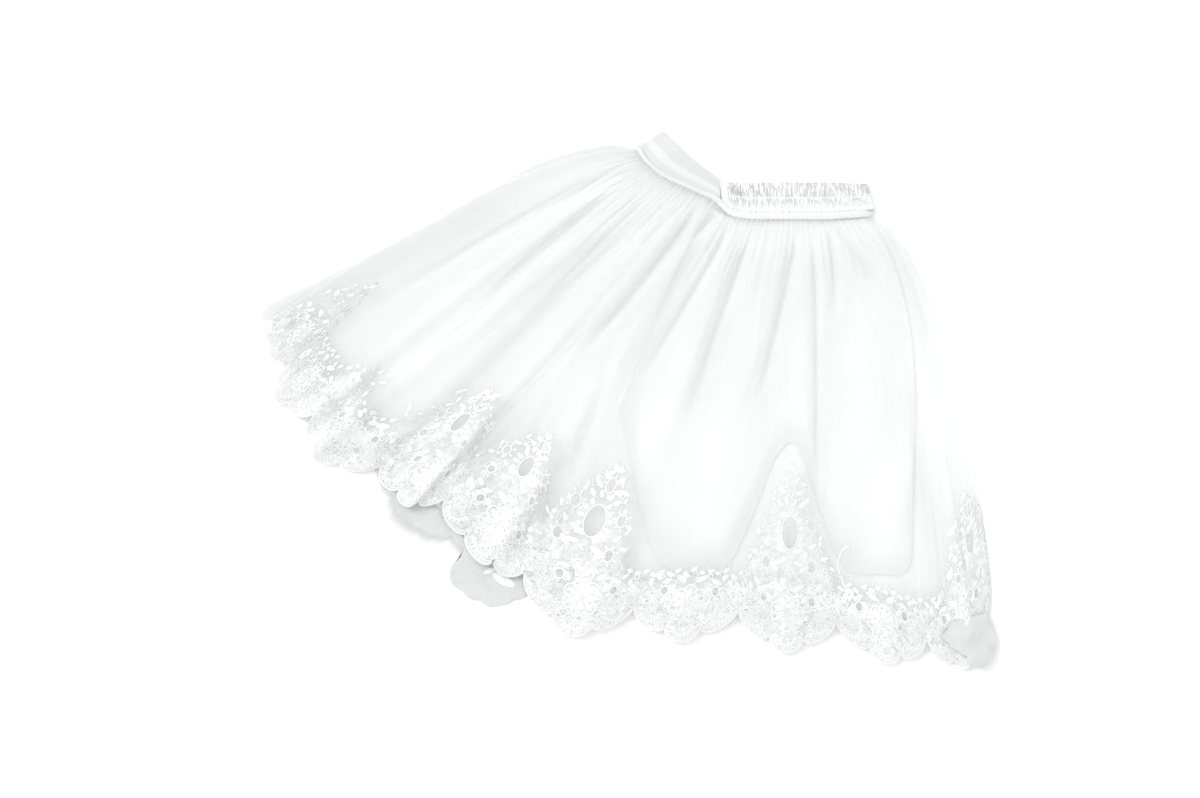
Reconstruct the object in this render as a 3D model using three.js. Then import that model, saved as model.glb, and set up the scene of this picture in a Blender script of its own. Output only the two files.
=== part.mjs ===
// A gathered tulle skirt with a lace border, folded in half and laid flat. Millimetres, +Z up.
import * as THREE from "three";

// Cloth thicknesses and seam gaps.
const netWall = 1.1;
const liningWall = 1.1;
const laceWall = 1.2;
const laceRise = 1.1;
const laceSink = 0.15;
const seamGap = 0.3;
const seamStep = 0.01;
const upwards = new THREE.Vector3(0, 0, 1);
const bandWall = 1.5;

// Heights of the layers above the surface the skirt lies on.
const underLayerTop = 1.2;
const liningUnderFloor = 1.5;
const liningTopFloor = 3.2;
const netFloor = 1.6;
const netOverLining = 9.5;
const edgeRoll = 42;

// The hem is counted in columns: two to a gather at the waist, twelve to a scallop at the hem.
const columnCount = 120;
const sideSeamColumn = 56;
const columnsPerScallop = 12;
const gatherHeight = 3.0;
const gatherReach = 0.3;

// Rays of the upper layer from waist to hem: waist point, bend point and hem point in plan.
const rays = tableOf(["column", "waistX", "waistY", "bendX", "bendY", "hemX", "hemY"], [
  [0, 15.6, 326.3, -123.5, 335.4, -455.0, 109.2],
  [6, 20.8, 317.2, -117.0, 296.4, -416.0, 88.4],
  [12, 27.3, 308.1, -113.1, 260.0, -423.8, 57.2],
  [18, 33.8, 301.6, -107.9, 231.4, -410.8, 31.2],
  [24, 41.6, 295.1, -100.1, 208.0, -396.5, -14.3],
  [30, 52.0, 288.6, -84.5, 187.2, -358.8, -44.2],
  [36, 65.0, 282.1, -62.4, 169.0, -312.0, -80.6],
  [42, 80.6, 275.6, -32.5, 156.0, -252.2, -96.2],
  [48, 97.5, 267.8, 0.0, 140.4, -229.0, -123.0],
  [54, 114.4, 260.0, 26.0, 122.2, -165.1, -161.2],
  [60, 133.9, 241.8, 55.9, 97.5, -127.4, -217.1],
  [66, 152.1, 236.6, 78.0, 78.0, -54.6, -256.1],
  [72, 170.3, 235.3, 104.0, 65.0, 13.0, -263.9],
  [78, 188.5, 235.3, 143.0, 58.5, 80.6, -262.6],
  [84, 208.0, 235.3, 182.0, 52.0, 146.9, -267.8],
  [90, 226.2, 235.3, 221.0, 45.5, 209.3, -275.6],
  [96, 244.4, 235.3, 260.0, 45.5, 273.0, -282.1],
  [102, 263.9, 235.3, 308.1, 71.5, 334.1, -288.6],
  [108, 282.1, 236.6, 351.0, 104.0, 390.0, -304.0],
  [114, 301.6, 237.9, 390.0, 136.5, 438.1, -292.0],
  [120, 321.1, 240.5, 429.0, 179.4, 474.5, -240.0],
]);

// How far the upper layer stands up on its gathers, by share of the way from waist to hem.
const puff = tableOf(["share", "height"], [
  [0, 9],
  [0.05, 20],
  [0.12, 30],
  [0.24, 27],
  [0.4, 19],
  [0.6, 14],
  [0.8, 11],
  [1, 8],
  [1.2, 5],
]);

// The largest folds: column where each starts and ends, share of the way down where it starts and
// ends, half width at each end, and height (below zero for a valley).
const folds = tableOf(["from", "to", "start", "end", "startWidth", "endWidth", "height"], [
  [6, 5, 0.05, 0.8, 14, 26, 7],
  [13, 12, 0.05, 0.9, 10, 18, -6],
  [18, 26, 0.08, 1.3, 9, 16, 7],
  [21, 31, 0.12, 0.85, 7, 14, -6],
  [31, 28, 0.1, 1.3, 12, 18, 9],
  [38, 37, 0.1, 1.3, 12, 20, -9],
  [44, 43, 0.1, 1.3, 12, 18, 9],
  [48, 47, 0.06, 0.6, 6, 12, 6],
  [51, 50, 0.04, 0.66, 5, 13, -9],
  [50, 52, 0.7, 1.3, 14, 18, -8],
  [55, 56, 0.08, 1.3, 9, 18, 8],
  [58, 55, 0.02, 0.16, 4, 6, -6],
  [53, 60, 0.5, 0.85, 8, 12, -6],
  [63, 61, 0.02, 0.6, 5, 13, -7],
  [63, 63, 0.75, 1.3, 12, 20, -8],
  [68, 68, 0.06, 1.3, 10, 26, 6],
  [72, 72, 0.03, 0.7, 8, 17, -9],
  [78, 78, 0.06, 1.3, 10, 30, 5],
  [89, 83, 0.02, 0.6, 6, 13, -8],
  [92, 90, 0.06, 1.3, 8, 30, 5],
  [95, 94, 0.03, 0.8, 4, 9, -5],
  [101, 99, 0.02, 0.34, 4, 8, -5],
  [104, 103, 0.1, 1.3, 10, 28, 5],
  [103, 111, 0.02, 0.3, 4, 8, -5],
  [111, 111, 0.62, 1.3, 7, 9, -5],
  [114, 115, 0.1, 1.3, 9, 12, 5],
  [118, 117, 0.06, 0.55, 5, 9, -4],
]);

// The lace border, in columns along the hem and millimetres up from it.
const laceLowTop = 48;

// Where the lace climbs in a pointed arch: the column of its tip, how far it climbs past the low border,
// and half its width in columns.
const laceArches = tableOf(["column", "rise", "half"], [
  [6, 58, 5],
  [24, 44, 4],
  [40, 90, 8],
  [53, 84, 7],
  [64, 128, 6],
  [90, 148, 6],
  [117, 92, 6],
]);
const archCurve = 1.5;

// Each scallop has a round lobe in its middle and one on each side. Depths below the hem, with how far a
// lobe bulges past the line between its two cusps.
const lobeHalfColumns = 2;
const cuspDepth = 29;
const notchDepth = 4;
const middleBulge = 20;
const sideBulge = 14;

// Openings are two columns wide. Those of an arch: columns from its tip, share of its rise where the
// opening has its middle, and half height. Only arches that rise far enough have them.
const openArchRise = 80;
const archOpenings = tableOf(["offset", "climb", "halfHeight"], [
  [0, 0.76, 11],
  [0, 0.36, 19],
  [-3, 0.45, 9],
  [3, 0.45, 9],
  [-3, 0.08, 8],
  [3, 0.08, 8],
]);

// Openings of every scallop: columns from its middle, height and half height.
const scallopOpenings = tableOf(["offset", "centre", "halfHeight"], [
  [-3, 16, 8],
  [3, 16, 8],
  [0, -22, 9],
]);

// The lining: waist point and hem point of each ray in plan, its side edges first and last.
const liningRays = tableOf(["waistX", "waistY", "bendX", "bendY", "hemX", "hemY"], [
  [112.0, 250.0, 52.0, 150.0, -4.0, -12.0],
  [122.0, 243.0, 66.0, 96.0, 18.0, -130.0],
  [140.0, 237.0, 90.0, 30.0, 42.0, -206.0],
  [160.0, 234.0, 118.0, 10.0, 82.0, -225.0],
  [180.0, 233.0, 148.0, 5.0, 128.0, -222.0],
  [200.0, 233.0, 178.0, 60.0, 166.0, -150.0],
  [218.0, 233.0, 206.0, 90.0, 196.0, -74.0],
  [236.0, 233.0, 232.0, 100.0, 226.0, -60.0],
  [254.0, 233.0, 254.0, 60.0, 256.0, -150.0],
  [272.0, 233.0, 284.0, 20.0, 286.0, -218.0],
  [290.0, 234.0, 316.0, 30.0, 330.0, -226.0],
  [304.0, 235.0, 350.0, 100.0, 370.0, -214.0],
  [316.0, 237.0, 392.0, 140.0, 374.0, -100.0],
]);
const liningRows = 9;
const liningWave = 3.4;
const liningWaveLength = 74;

// Upper edge of the waistband in plan, by column: the front tape, then the shirred back.
const frontBandEdge = tableOf(["column", "x", "y"], [
  [0, 50.7, 347.1],
  [12, 65.0, 332.8],
  [24, 80.6, 317.2],
  [36, 98.8, 302.9],
  [48, 114.4, 291.2],
  [55.5, 122.2, 283.4],
]);
const backBandEdge = tableOf(["column", "x", "y"], [
  [57, 124.8, 281.4],
  [60, 132.6, 281.4],
  [72, 169.0, 281.4],
  [96, 243.1, 281.4],
  [108, 276.9, 281.4],
  [120, 309.4, 280.2],
]);
const frontFoldHeight = 6;
const bandHeight = 11;
const backFoldHeight = 8;
const bandColumnStep = 8;

// Ribs of the front tape: share of its width and how far each stands out.
const frontRibs = tableOf(["share", "ripple", "rise"], [
  [0, 0, 0.5],
  [0.18, 0, 0.5],
  [0.24, 0, 0],
  [0.44, 0, 0.6],
  [0.6, 0, 0.6],
  [0.68, 0, 0],
  [0.84, 0, 0.5],
  [1, 0, 0.5],
]);

// Rows across the shirred back: share of its width, height of its ripples, and rise between stitches.
const backRows = tableOf(["share", "ripple", "rise"], [
  [0, 0.5, 0],
  [0.16, 1.3, 1.0],
  [0.32, 0.3, 0],
  [0.48, 1.3, 1.2],
  [0.62, 0.3, 0],
  [0.82, 1.5, 1.2],
  [1, 1.0, 0.2],
]);

// The binding over the gathered seam, and where the band starts beyond it.
const bindingStart = 0.8;
const bindingWidth = 6.6;
const bindingWall = 1.6;
const bindingStep = 2;
const bindingRise = 1.2;
const bandStart = 8;
const bindingRows = tableOf(["share", "ripple", "rise"], [
  [0, 0, 0],
  [0.5, 0, 0.5],
  [1, 0, 0],
]);

// The layer beneath in plan: net edge and the lace scallops that peek out.
const underEdge = tableOf(["x", "y"], [
  [-27.3, 331.5],
  [-105.3, 312.0],
  [-167.7, 279.5],
  [-261.3, 224.9],
  [-354.9, 176.8],
  [-417.3, 146.9],
  [-464.1, 124.8],
  [-479.7, 102.7],
  [-444.6, 97.5],
  [-422.5, 26.0],
  [-370.5, -52.0],
  [-328.9, -80.6],
  [-310.0, -101.4],
  [-136.5, -215.0],
  [-84.5, -250.0],
  [19.5, -254.0],
  [149.5, -256.0],
  [266.5, -270.0],
  [357.5, -300.4],
  [409.5, -305.2],
  [468.0, -270.0],
  [476.0, -240.0],
  [467.0, -169.0],
  [450.1, -101.4],
  [428.0, -26.0],
  [405.9, 65.0],
  [388.0, 143.0],
  [360.0, 205.0],
  [321.0, 238.0],
]);
// The scallops' outlines go round with how far each side bulges, as a share of its length.
const underScallopsFront = tableOf(["x", "y", "bulge"], [
  [-310.3, -102.5, 0],
  [-326.5, -88.0, 0.1],
  [-319.8, -105.0, 0.2],
  [-309.7, -127.0, 0.2],
  [-309.7, -145.0, 0.25],
  [-302.4, -165.0, 0.15],
  [-276.3, -179.0, 0.2],
  [-253.1, -187.0, 0.2],
  [-231.3, -183.6, 0.1],
  [-213.9, -204.0, 0],
  [-225.6, -217.0, 0.25],
  [-209.6, -249.0, 0.2],
  [-189.3, -259.0, 0.2],
  [-163.1, -266.0, 0.15],
  [-145.7, -259.0, 0.15],
  [-126.9, -251.0, 0],
  [-122.1, -236.0, 0],
  [-136.8, -216.0, 0],
]);
const underScallopsBack = tableOf(["x", "y", "bulge"], [
  [410.0, -305.6, 0.1],
  [418.2, -314.0, 0.1],
  [429.9, -324.0, 0.1],
  [441.6, -331.0, 0.1],
  [449.4, -343.0, 0.15],
  [461.1, -347.0, 0.12],
  [472.7, -341.0, 0.12],
  [479.0, -327.0, 0.02],
  [479.7, -305.5, 0],
  [477.4, -272.6, 0],
  [468.3, -270.6, 0],
]);
const bulgeSteps = 4;

// Shares of the way from waist to hem where the rows of the upper layer lie, with the columns
// between two points of each row.
const netRows = tableOf(["share", "step"], [
  [0, 1],
  [0.05, 1],
  [0.12, 1],
  [0.2, 1],
  [0.3, 2],
  [0.44, 2],
  [0.6, 1],
  [0.8, 1],
  [1, 1],
]);

const clothColour = 0xf2f4f4;
const laceColour = 0xfafafa;
const liningColour = 0xffffff;
const bandColour = 0xeceeee;

function tableOf(names, rows) {
  return rows.map((row) => Object.fromEntries(names.map((name, i) => [name, row[i]])));
}

function smooth(low, high, x) {
  const t = THREE.MathUtils.clamp((x - low) / (high - low), 0, 1);
  return t * t * (3 - 2 * t);
}

// A table's column as a smooth curve through its rows.
function between(table, key, name, at) {
  const last = table.length - 1;
  let i = 0;
  while (i < last - 1 && table[i + 1][key] <= at) {
    i += 1;
  }
  const t = (at - table[i][key]) / (table[i + 1][key] - table[i][key]);
  const slope = (j) => {
    const a = Math.max(j - 1, 0);
    const b = Math.min(j + 1, last);
    return (table[b][name] - table[a][name]) / (table[b][key] - table[a][key]);
  };
  const run = table[i + 1][key] - table[i][key];
  const p0 = table[i][name];
  const p1 = table[i + 1][name];
  if (t > 1) {
    return p1 + slope(i + 1) * run * (t - 1);
  }
  const t2 = t * t;
  const t3 = t2 * t;
  return (
    p0 * (2 * t3 - 3 * t2 + 1) +
    p1 * (3 * t2 - 2 * t3) +
    slope(i) * run * (t3 - 2 * t2 + t) +
    slope(i + 1) * run * (t3 - t2)
  );
}

function bend(a, b, c, share) {
  const rest = 1 - share;
  return rest * rest * a + 2 * rest * share * b + share * share * c;
}

// Plan point of the upper layer; a share past 1 runs on beyond the hem.
function planPoint(column, share) {
  const at = (name) => between(rays, "column", name, column);
  return new THREE.Vector2(
    bend(at("waistX"), at("bendX"), at("hemX"), share),
    bend(at("waistY"), at("bendY"), at("hemY"), share),
  );
}

function columnPitch(share) {
  return 2.7 + 6.6 * share;
}

// The upper layer keeps higher where the lining lies below it.
function overLining(column, share) {
  return smooth(30, 52, column) * (1 - smooth(0.98, 1.1, share));
}

// Its edges roll down to the layer below like a quarter circle.
function rollAt(column, share) {
  const edge = Math.min(column, columnCount - column) * columnPitch(share);
  const near = 1 - THREE.MathUtils.clamp(edge / edgeRoll, 0, 1);
  return Math.sqrt(1 - near * near);
}

function foldLift(column, share) {
  let lift = 0;
  for (const fold of folds) {
    const along = (share - fold.start) / (fold.end - fold.start);
    if (along <= 0 || along >= 1) {
      continue;
    }
    const fade = smooth(0, 0.25, along) * (1 - smooth(0.7, 1, along));
    const centre = THREE.MathUtils.lerp(fold.from, fold.to, along);
    const width = THREE.MathUtils.lerp(fold.startWidth, fold.endWidth, along);
    const across = ((column - centre) * columnPitch(share)) / width;
    lift += fold.height * fade * Math.exp(-across * across);
  }
  return lift;
}

// Height of the upper layer's inner side. Its gathers are a zigzag with a crest on each odd column.
function netHeight(column, share) {
  const roll = rollAt(column, share);
  const crest = 1 - Math.abs((column % 2) - 1);
  const gather = gatherHeight * crest * (1 - smooth(0.02, gatherReach, share));
  const lift = between(puff, "share", "height", share) + foldLift(column, share) + gather;
  const floor = netFloor + (netOverLining - netFloor) * overLining(column, share) * roll;
  return Math.max(floor, netFloor + lift * roll);
}

function netPoint(column, share) {
  const plan = planPoint(column, share);
  return new THREE.Vector3(plan.x, plan.y, netHeight(column, share) + netWall);
}

function netNormal(column, share) {
  const left = netPoint(Math.max(column - 1, 0), share);
  const right = netPoint(Math.min(column + 1, columnCount), share);
  const up = netPoint(column, Math.max(share - 0.02, 0));
  const down = netPoint(column, share + 0.02);
  return right.sub(left).cross(up.sub(down)).normalize();
}

// A closed wall from matching outer and inner points and the triangles that join the outer ones.
function wall(outer, inner, triangles) {
  const count = outer.length;
  const edges = new Set();
  for (const [a, b, c] of triangles) {
    edges.add(`${a},${b}`);
    edges.add(`${b},${c}`);
    edges.add(`${c},${a}`);
  }
  const faces = [];
  for (const [a, b, c] of triangles) {
    faces.push([a, b, c], [a + count, c + count, b + count]);
    for (const [p, q] of [[a, b], [b, c], [c, a]]) {
      if (edges.has(`${q},${p}`)) {
        continue;
      }
      // Split by the order of the points, so that both sides of a seam split alike.
      if (p < q) {
        faces.push([p, p + count, q + count], [p, q + count, q]);
      } else {
        faces.push([p, p + count, q], [p + count, q + count, q]);
      }
    }
  }
  const geometry = new THREE.BufferGeometry();
  const values = [...outer, ...inner].flatMap((v) => [v.x, v.y, v.z]);
  geometry.setAttribute("position", new THREE.Float32BufferAttribute(values, 3));
  geometry.setIndex(faces.flat());
  geometry.computeVertexNormals();
  return geometry;
}

// Triangles between two lines of points, each a list of { index, at } in order.
function zip(near, far) {
  const triangles = [];
  let i = 0;
  let j = 0;
  while (i < near.length - 1 || j < far.length - 1) {
    const farDone = j === far.length - 1;
    const stepNear = farDone || (i < near.length - 1 && near[i + 1].at <= far[j + 1].at);
    if (stepNear) {
      triangles.push([near[i].index, far[j].index, near[i + 1].index]);
      i += 1;
    } else {
      triangles.push([near[i].index, far[j].index, far[j + 1].index]);
      j += 1;
    }
  }
  return triangles;
}

function panelOfNet(firstColumn, lastColumn) {
  const outer = [];
  const inner = [];
  const rows = netRows.map(({ share, step }) => {
    const row = [];
    for (let column = firstColumn; column <= lastColumn; column += step) {
      const point = netPoint(column, share).add(netSeamShift(column, lastColumn, share));
      row.push({ index: outer.length, at: column });
      outer.push(point);
      inner.push(point.clone().addScaledVector(netNormal(column, share), -netWall));
    }
    return row;
  });
  const triangles = rows.slice(1).flatMap((row, i) => zip(rows[i], row));
  return wall(outer, inner, triangles);
}

// The two halves stand a seam gap apart at the side seam, measured square to the seam.
function seamShift(column, lastColumn, alongSeam, wallDirection) {
  if (column !== sideSeamColumn) {
    return new THREE.Vector3();
  }
  const side = lastColumn === sideSeamColumn ? -1 : 1;
  const across = new THREE.Vector3().crossVectors(wallDirection, alongSeam).normalize();
  return across.multiplyScalar((side * seamGap) / 2);
}

// The net's wall stands square to its cloth, so its gap is measured along the cloth.
function netSeamShift(column, lastColumn, share) {
  const from = netPoint(column, Math.max(share - seamStep, 0));
  const along = netPoint(column, Math.min(share + seamStep, 1)).sub(from);
  return seamShift(column, lastColumn, along, netNormal(column, share));
}

// The lace's wall stands upright, so its gap is measured in plan.
function laceSeamShift(column, lastColumn, share) {
  const from = planPoint(column, share - seamStep);
  const along = planPoint(column, share + seamStep).sub(from);
  return seamShift(column, lastColumn, new THREE.Vector3(along.x, along.y, 0), upwards);
}

// A point of the net's outer side: it is straight between its rows.
function facetPoint(column, share) {
  const last = netRows.length - 1;
  let i = 0;
  while (i < last - 1 && netRows[i + 1].share <= share) {
    i += 1;
  }
  const a = netPoint(column, netRows[i].share);
  const b = netPoint(column, netRows[i + 1].share);
  const t = (share - netRows[i].share) / (netRows[i + 1].share - netRows[i].share);
  return a.lerp(b, t);
}

function rayLength(column) {
  const from = 0.7;
  return planPoint(column, from).distanceTo(planPoint(column, 1)) / (1 - from);
}

// A point of the border's inner side; below the hem it hangs free and sinks to the layer beneath.
function lacePoint(column, up) {
  const share = 1 - up / rayLength(column);
  if (share <= 1) {
    const point = facetPoint(column, share);
    point.z += laceRise;
    return point;
  }
  const plan = planPoint(column, share);
  const height = netPoint(column, 1).z + laceRise + up * laceSink;
  return new THREE.Vector3(plan.x, plan.y, Math.max(underLayerTop + seamGap, height));
}

function laceTop(column) {
  const climbs = laceArches.map((arch) => {
    const share = Math.min(Math.abs(column - arch.column) / arch.half, 1);
    return arch.rise * (1 - Math.pow(share, archCurve));
  });
  return laceLowTop + Math.max(...climbs);
}

function laceBottom(column) {
  const half = columnsPerScallop / 2;
  const across = Math.abs((column % columnsPerScallop) - half);
  if (across < lobeHalfColumns) {
    const side = across / lobeHalfColumns;
    return -cuspDepth - middleBulge * Math.sqrt(1 - side * side);
  }
  const along = (across - lobeHalfColumns) / (half - lobeHalfColumns);
  const side = 2 * along - 1;
  const cusps = cuspDepth + (notchDepth - cuspDepth) * along;
  return -cusps - sideBulge * Math.sqrt(Math.max(1 - side * side, 0));
}

// All the openings of the border between two columns.
function laceOpenings(firstColumn, lastColumn) {
  const all = [];
  for (let scallop = 0; scallop < columnCount / columnsPerScallop; scallop += 1) {
    const middle = columnsPerScallop * (scallop + 0.5);
    all.push(...scallopOpenings.map((row) => ({ ...row, column: middle + row.offset })));
  }
  for (const arch of laceArches.filter(({ rise }) => rise >= openArchRise)) {
    all.push(...archOpenings.map(({ offset, climb, halfHeight }) => {
      return { column: arch.column + offset, centre: laceLowTop + climb * arch.rise, halfHeight };
    }));
  }
  return all.filter(({ column }) => column - 1 > firstColumn && column + 1 < lastColumn);
}

// The stretches of lace at a column on the strip to one side of it: from its scallop to its top, less
// each opening that reaches over the strip.
function laceSpans(openings, column, side) {
  const cuts = openings
    .filter((hole) => Math.abs(column - hole.column) <= 1 && Math.abs(column + side - hole.column) <= 1)
    .map((hole) => {
      const half = hole.column === column ? hole.halfHeight : 0;
      return [hole.centre - half, hole.centre + half];
    })
    .sort((a, b) => a[0] - b[0]);
  const ends = [laceBottom(column), ...cuts.flat(), laceTop(column)];
  return Array.from({ length: ends.length / 2 }, (_, i) => [ends[2 * i], ends[2 * i + 1]]);
}

function panelOfLace(firstColumn, lastColumn) {
  const openings = laceOpenings(firstColumn, lastColumn);
  const outer = [];
  const inner = [];
  const lines = [];
  for (let column = firstColumn; column <= lastColumn; column += 1) {
    const ends = [...laceSpans(openings, column, 1), ...laceSpans(openings, column, -1)].flat();
    const rows = netRows.map(({ share }) => (1 - share) * rayLength(column));
    const inside = rows.filter((up) => up > laceBottom(column) && up < laceTop(column));
    const heights = [...new Set([...ends, ...inside].map((up) => Number(up.toFixed(2))))];
    heights.sort((a, b) => a - b);
    lines.push(heights.map((up) => {
      const shift = laceSeamShift(column, lastColumn, 1 - up / rayLength(column));
      const point = lacePoint(column, up).add(shift);
      inner.push(point);
      outer.push(new THREE.Vector3(point.x, point.y, point.z + laceWall));
      return { index: inner.length - 1, at: up };
    }));
  }
  const within = (line, [low, high]) => line.filter(({ at }) => at > low - 0.02 && at < high + 0.02);
  const triangles = lines.slice(1).flatMap((line, i) => {
    const left = laceSpans(openings, firstColumn + i, 1);
    const right = laceSpans(openings, firstColumn + i + 1, -1);
    return left.flatMap((span, k) => zip(within(lines[i], span), within(line, right[k])));
  });
  return wall(outer, inner, triangles);
}

function panelOfLining(heightAt) {
  const outer = [];
  const inner = [];
  const rows = [];
  for (let row = 0; row <= liningRows; row += 1) {
    const share = row / liningRows;
    rows.push(liningRays.map((ray, i) => {
      const x = bend(ray.waistX, ray.bendX, ray.hemX, share);
      const y = bend(ray.waistY, ray.bendY, ray.hemY, share);
      const z = heightAt(x, y);
      inner.push(new THREE.Vector3(x, y, z));
      outer.push(new THREE.Vector3(x, y, z + liningWall));
      return { index: inner.length - 1, at: i };
    }));
  }
  const triangles = rows.slice(1).flatMap((row, i) => zip(rows[i], row));
  return wall(outer, inner, triangles);
}

function liningHeight(x, y) {
  const across = Math.sin((x - 0.2 * y) / liningWaveLength * Math.PI * 2);
  const along = Math.sin((y + 0.4 * x) / (2.3 * liningWaveLength) * Math.PI * 2);
  return liningTopFloor + (liningWave / 2) * (1 + across * (0.6 + 0.4 * along));
}

function waistPoint(column) {
  return planPoint(column, 0);
}

// Points into the band from the gathered seam, square to it.
function waistNormal(column) {
  const a = waistPoint(Math.max(column - 1, 0));
  const b = waistPoint(Math.min(column + 1, columnCount));
  return new THREE.Vector2(a.y - b.y, b.x - a.x).normalize();
}

function stationAt(column, lowAt, high, height, tilt) {
  const low = waistPoint(column).addScaledVector(waistNormal(column), lowAt);
  return { column, low, high, height, tilt, out: new THREE.Vector2(), radius: 0 };
}

// The stations of a strip that turns from its top layer to its lower one round a fold.
function foldStations(last, out, wallThickness) {
  const radius = (last.height - wallThickness / 2) / 2;
  return [0.25, 0.5, 0.75].map((turn) => {
    const tilt = turn * Math.PI;
    return { ...last, tilt, out, radius, height: wallThickness / 2 + radius * (1 + Math.cos(tilt)) };
  });
}

// A strip through its stations, in the order that turns its outer side outwards.
function strip(stations, rows, thickness, closed) {
  const outer = [];
  const inner = [];
  const lines = stations.map((station) => {
    const sine = Math.sin(station.tilt);
    const normal = new THREE.Vector3(station.out.x * sine, station.out.y * sine, Math.cos(station.tilt));
    const top = Math.max(Math.cos(station.tilt), 0);
    return rows.map(({ share, ripple, rise }) => {
      const plan = station.low.clone().lerp(station.high, share);
      plan.addScaledVector(station.out, station.radius * sine);
      const middle = new THREE.Vector3(plan.x, plan.y, station.height);
      const crest = Math.round(station.column) % 2 === 1 ? ripple : 0;
      const reach = thickness / 2 + top * (rise + crest);
      outer.push(middle.clone().addScaledVector(normal, reach));
      inner.push(middle.clone().addScaledVector(normal, -thickness / 2));
      return { index: outer.length - 1, at: share };
    });
  });
  const pairs = lines.slice(1).map((line, i) => [lines[i], line]);
  if (closed) {
    pairs.push([lines[lines.length - 1], lines[0]]);
  }
  return wall(outer, inner, pairs.flatMap(([near, far]) => zip(near, far)));
}

function edgeAt(table, column) {
  return new THREE.Vector2(between(table, "column", "x", column), between(table, "column", "y", column));
}

function columnsFrom(first, last, step) {
  const count = Math.round(Math.abs(last - first) / step);
  return Array.from({ length: count + 1 }, (_, i) => first + ((last - first) * i) / count);
}

function frontBandGeometry() {
  const first = frontBandEdge[0].column;
  const last = frontBandEdge[frontBandEdge.length - 1].column;
  const high = (column) => edgeAt(frontBandEdge, column);
  const top = columnsFrom(first, last, bandColumnStep / 2).map((column) => {
    const height = THREE.MathUtils.lerp(frontFoldHeight, bandHeight, smooth(0, 20, column));
    return stationAt(column, bandStart, high(column), height, 0);
  });
  const out = waistPoint(0).sub(waistPoint(2)).normalize();
  const turn = foldStations(top[0], out, bandWall).reverse();
  const under = columnsFrom(last, first, bandColumnStep).map((column) =>
    stationAt(column, bandStart, high(column), bandWall / 2, Math.PI),
  );
  return strip([...under, ...turn, ...top], frontRibs, bandWall, false);
}

function backBandGeometry() {
  const first = backBandEdge[0].column;
  const last = backBandEdge[backBandEdge.length - 1].column;
  const high = (column) => edgeAt(backBandEdge, column);
  const top = columnsFrom(first, last, 1).map((column) => {
    const height = THREE.MathUtils.lerp(bandHeight, backFoldHeight, smooth(100, last, column));
    return stationAt(column, bandStart, high(column), height, 0);
  });
  const out = waistPoint(last).sub(waistPoint(last - 2)).normalize();
  const turn = foldStations(top[top.length - 1], out, bandWall);
  const under = columnsFrom(last, first, bandColumnStep).map((column) =>
    stationAt(column, bandStart, high(column), bandWall / 2, Math.PI),
  );
  return strip([...top, ...turn, ...under], backRows, bandWall, false);
}

function bindingGeometry() {
  const stationOf = (column, height, tilt) => {
    const high = waistPoint(column).addScaledVector(waistNormal(column), bindingWidth);
    return stationAt(column, bindingStart, high, height, tilt);
  };
  const top = columnsFrom(0, columnCount, bindingStep).map((column) => {
    const lift = between(puff, "share", "height", 0) * rollAt(column, 0);
    return stationOf(column, Math.max(netFloor + lift + bindingRise, backFoldHeight / 2), 0);
  });
  const under = columnsFrom(columnCount, 0, bandColumnStep).map((column) =>
    stationOf(column, bindingWall / 2, Math.PI),
  );
  const outBack = waistPoint(columnCount).sub(waistPoint(columnCount - 2)).normalize();
  const outFront = waistPoint(0).sub(waistPoint(2)).normalize();
  const turnBack = foldStations(top[top.length - 1], outBack, bindingWall);
  const turnFront = foldStations(top[0], outFront, bindingWall).reverse();
  return strip([...top, ...turnBack, ...under, ...turnFront], bindingRows, bindingWall, true);
}

// A flat plate of cloth with a given outline, lying on the surface.
function plate(points, thickness) {
  const shape = new THREE.Shape(points.map(({ x, y }) => new THREE.Vector2(x, y)));
  return new THREE.ExtrudeGeometry(shape, { depth: thickness, bevelEnabled: false, curveSegments: 1 });
}

// An outline with each side bent outwards into an arc by its own share.
function bulged(rows) {
  return rows.flatMap((row, i) => {
    const next = rows[(i + 1) % rows.length];
    const steps = row.bulge > 0 ? bulgeSteps : 1;
    return Array.from({ length: steps }, (_, step) => {
      const along = step / steps;
      const out = 4 * row.bulge * along * (1 - along);
      return {
        x: row.x + (next.x - row.x) * along + (next.y - row.y) * out,
        y: row.y + (next.y - row.y) * along - (next.x - row.x) * out,
      };
    });
  });
}

function underOutline() {
  const waist = columnsFrom(columnCount, 0, bandColumnStep).map((column) => waistPoint(column));
  return [...underEdge, ...waist];
}

function meshOf(name, geometry, colour, roughness) {
  const material = new THREE.MeshStandardMaterial({ color: colour, roughness, metalness: 0 });
  const mesh = new THREE.Mesh(geometry, material);
  mesh.name = name;
  return mesh;
}

const skirt = new THREE.Group();
skirt.name = "tulle_skirt";
skirt.add(meshOf("tulle_under", plate(underOutline(), underLayerTop), clothColour, 0.8));
skirt.add(meshOf("lace_under_front", plate(bulged(underScallopsFront), underLayerTop), laceColour, 0.8));
skirt.add(meshOf("lace_under_back", plate(bulged(underScallopsBack), underLayerTop), laceColour, 0.8));
skirt.add(meshOf("lining_under", panelOfLining(() => liningUnderFloor), liningColour, 0.5));
skirt.add(meshOf("lining_top", panelOfLining(liningHeight), liningColour, 0.5));
skirt.add(meshOf("tulle_front", panelOfNet(0, sideSeamColumn), clothColour, 0.8));
skirt.add(meshOf("tulle_back", panelOfNet(sideSeamColumn, columnCount), clothColour, 0.8));
skirt.add(meshOf("lace_front", panelOfLace(0, sideSeamColumn), laceColour, 0.75));
skirt.add(meshOf("lace_back", panelOfLace(sideSeamColumn, columnCount), laceColour, 0.75));
skirt.add(meshOf("waist_binding", bindingGeometry(), laceColour, 0.6));
skirt.add(meshOf("band_front", frontBandGeometry(), bandColour, 0.7));
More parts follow.
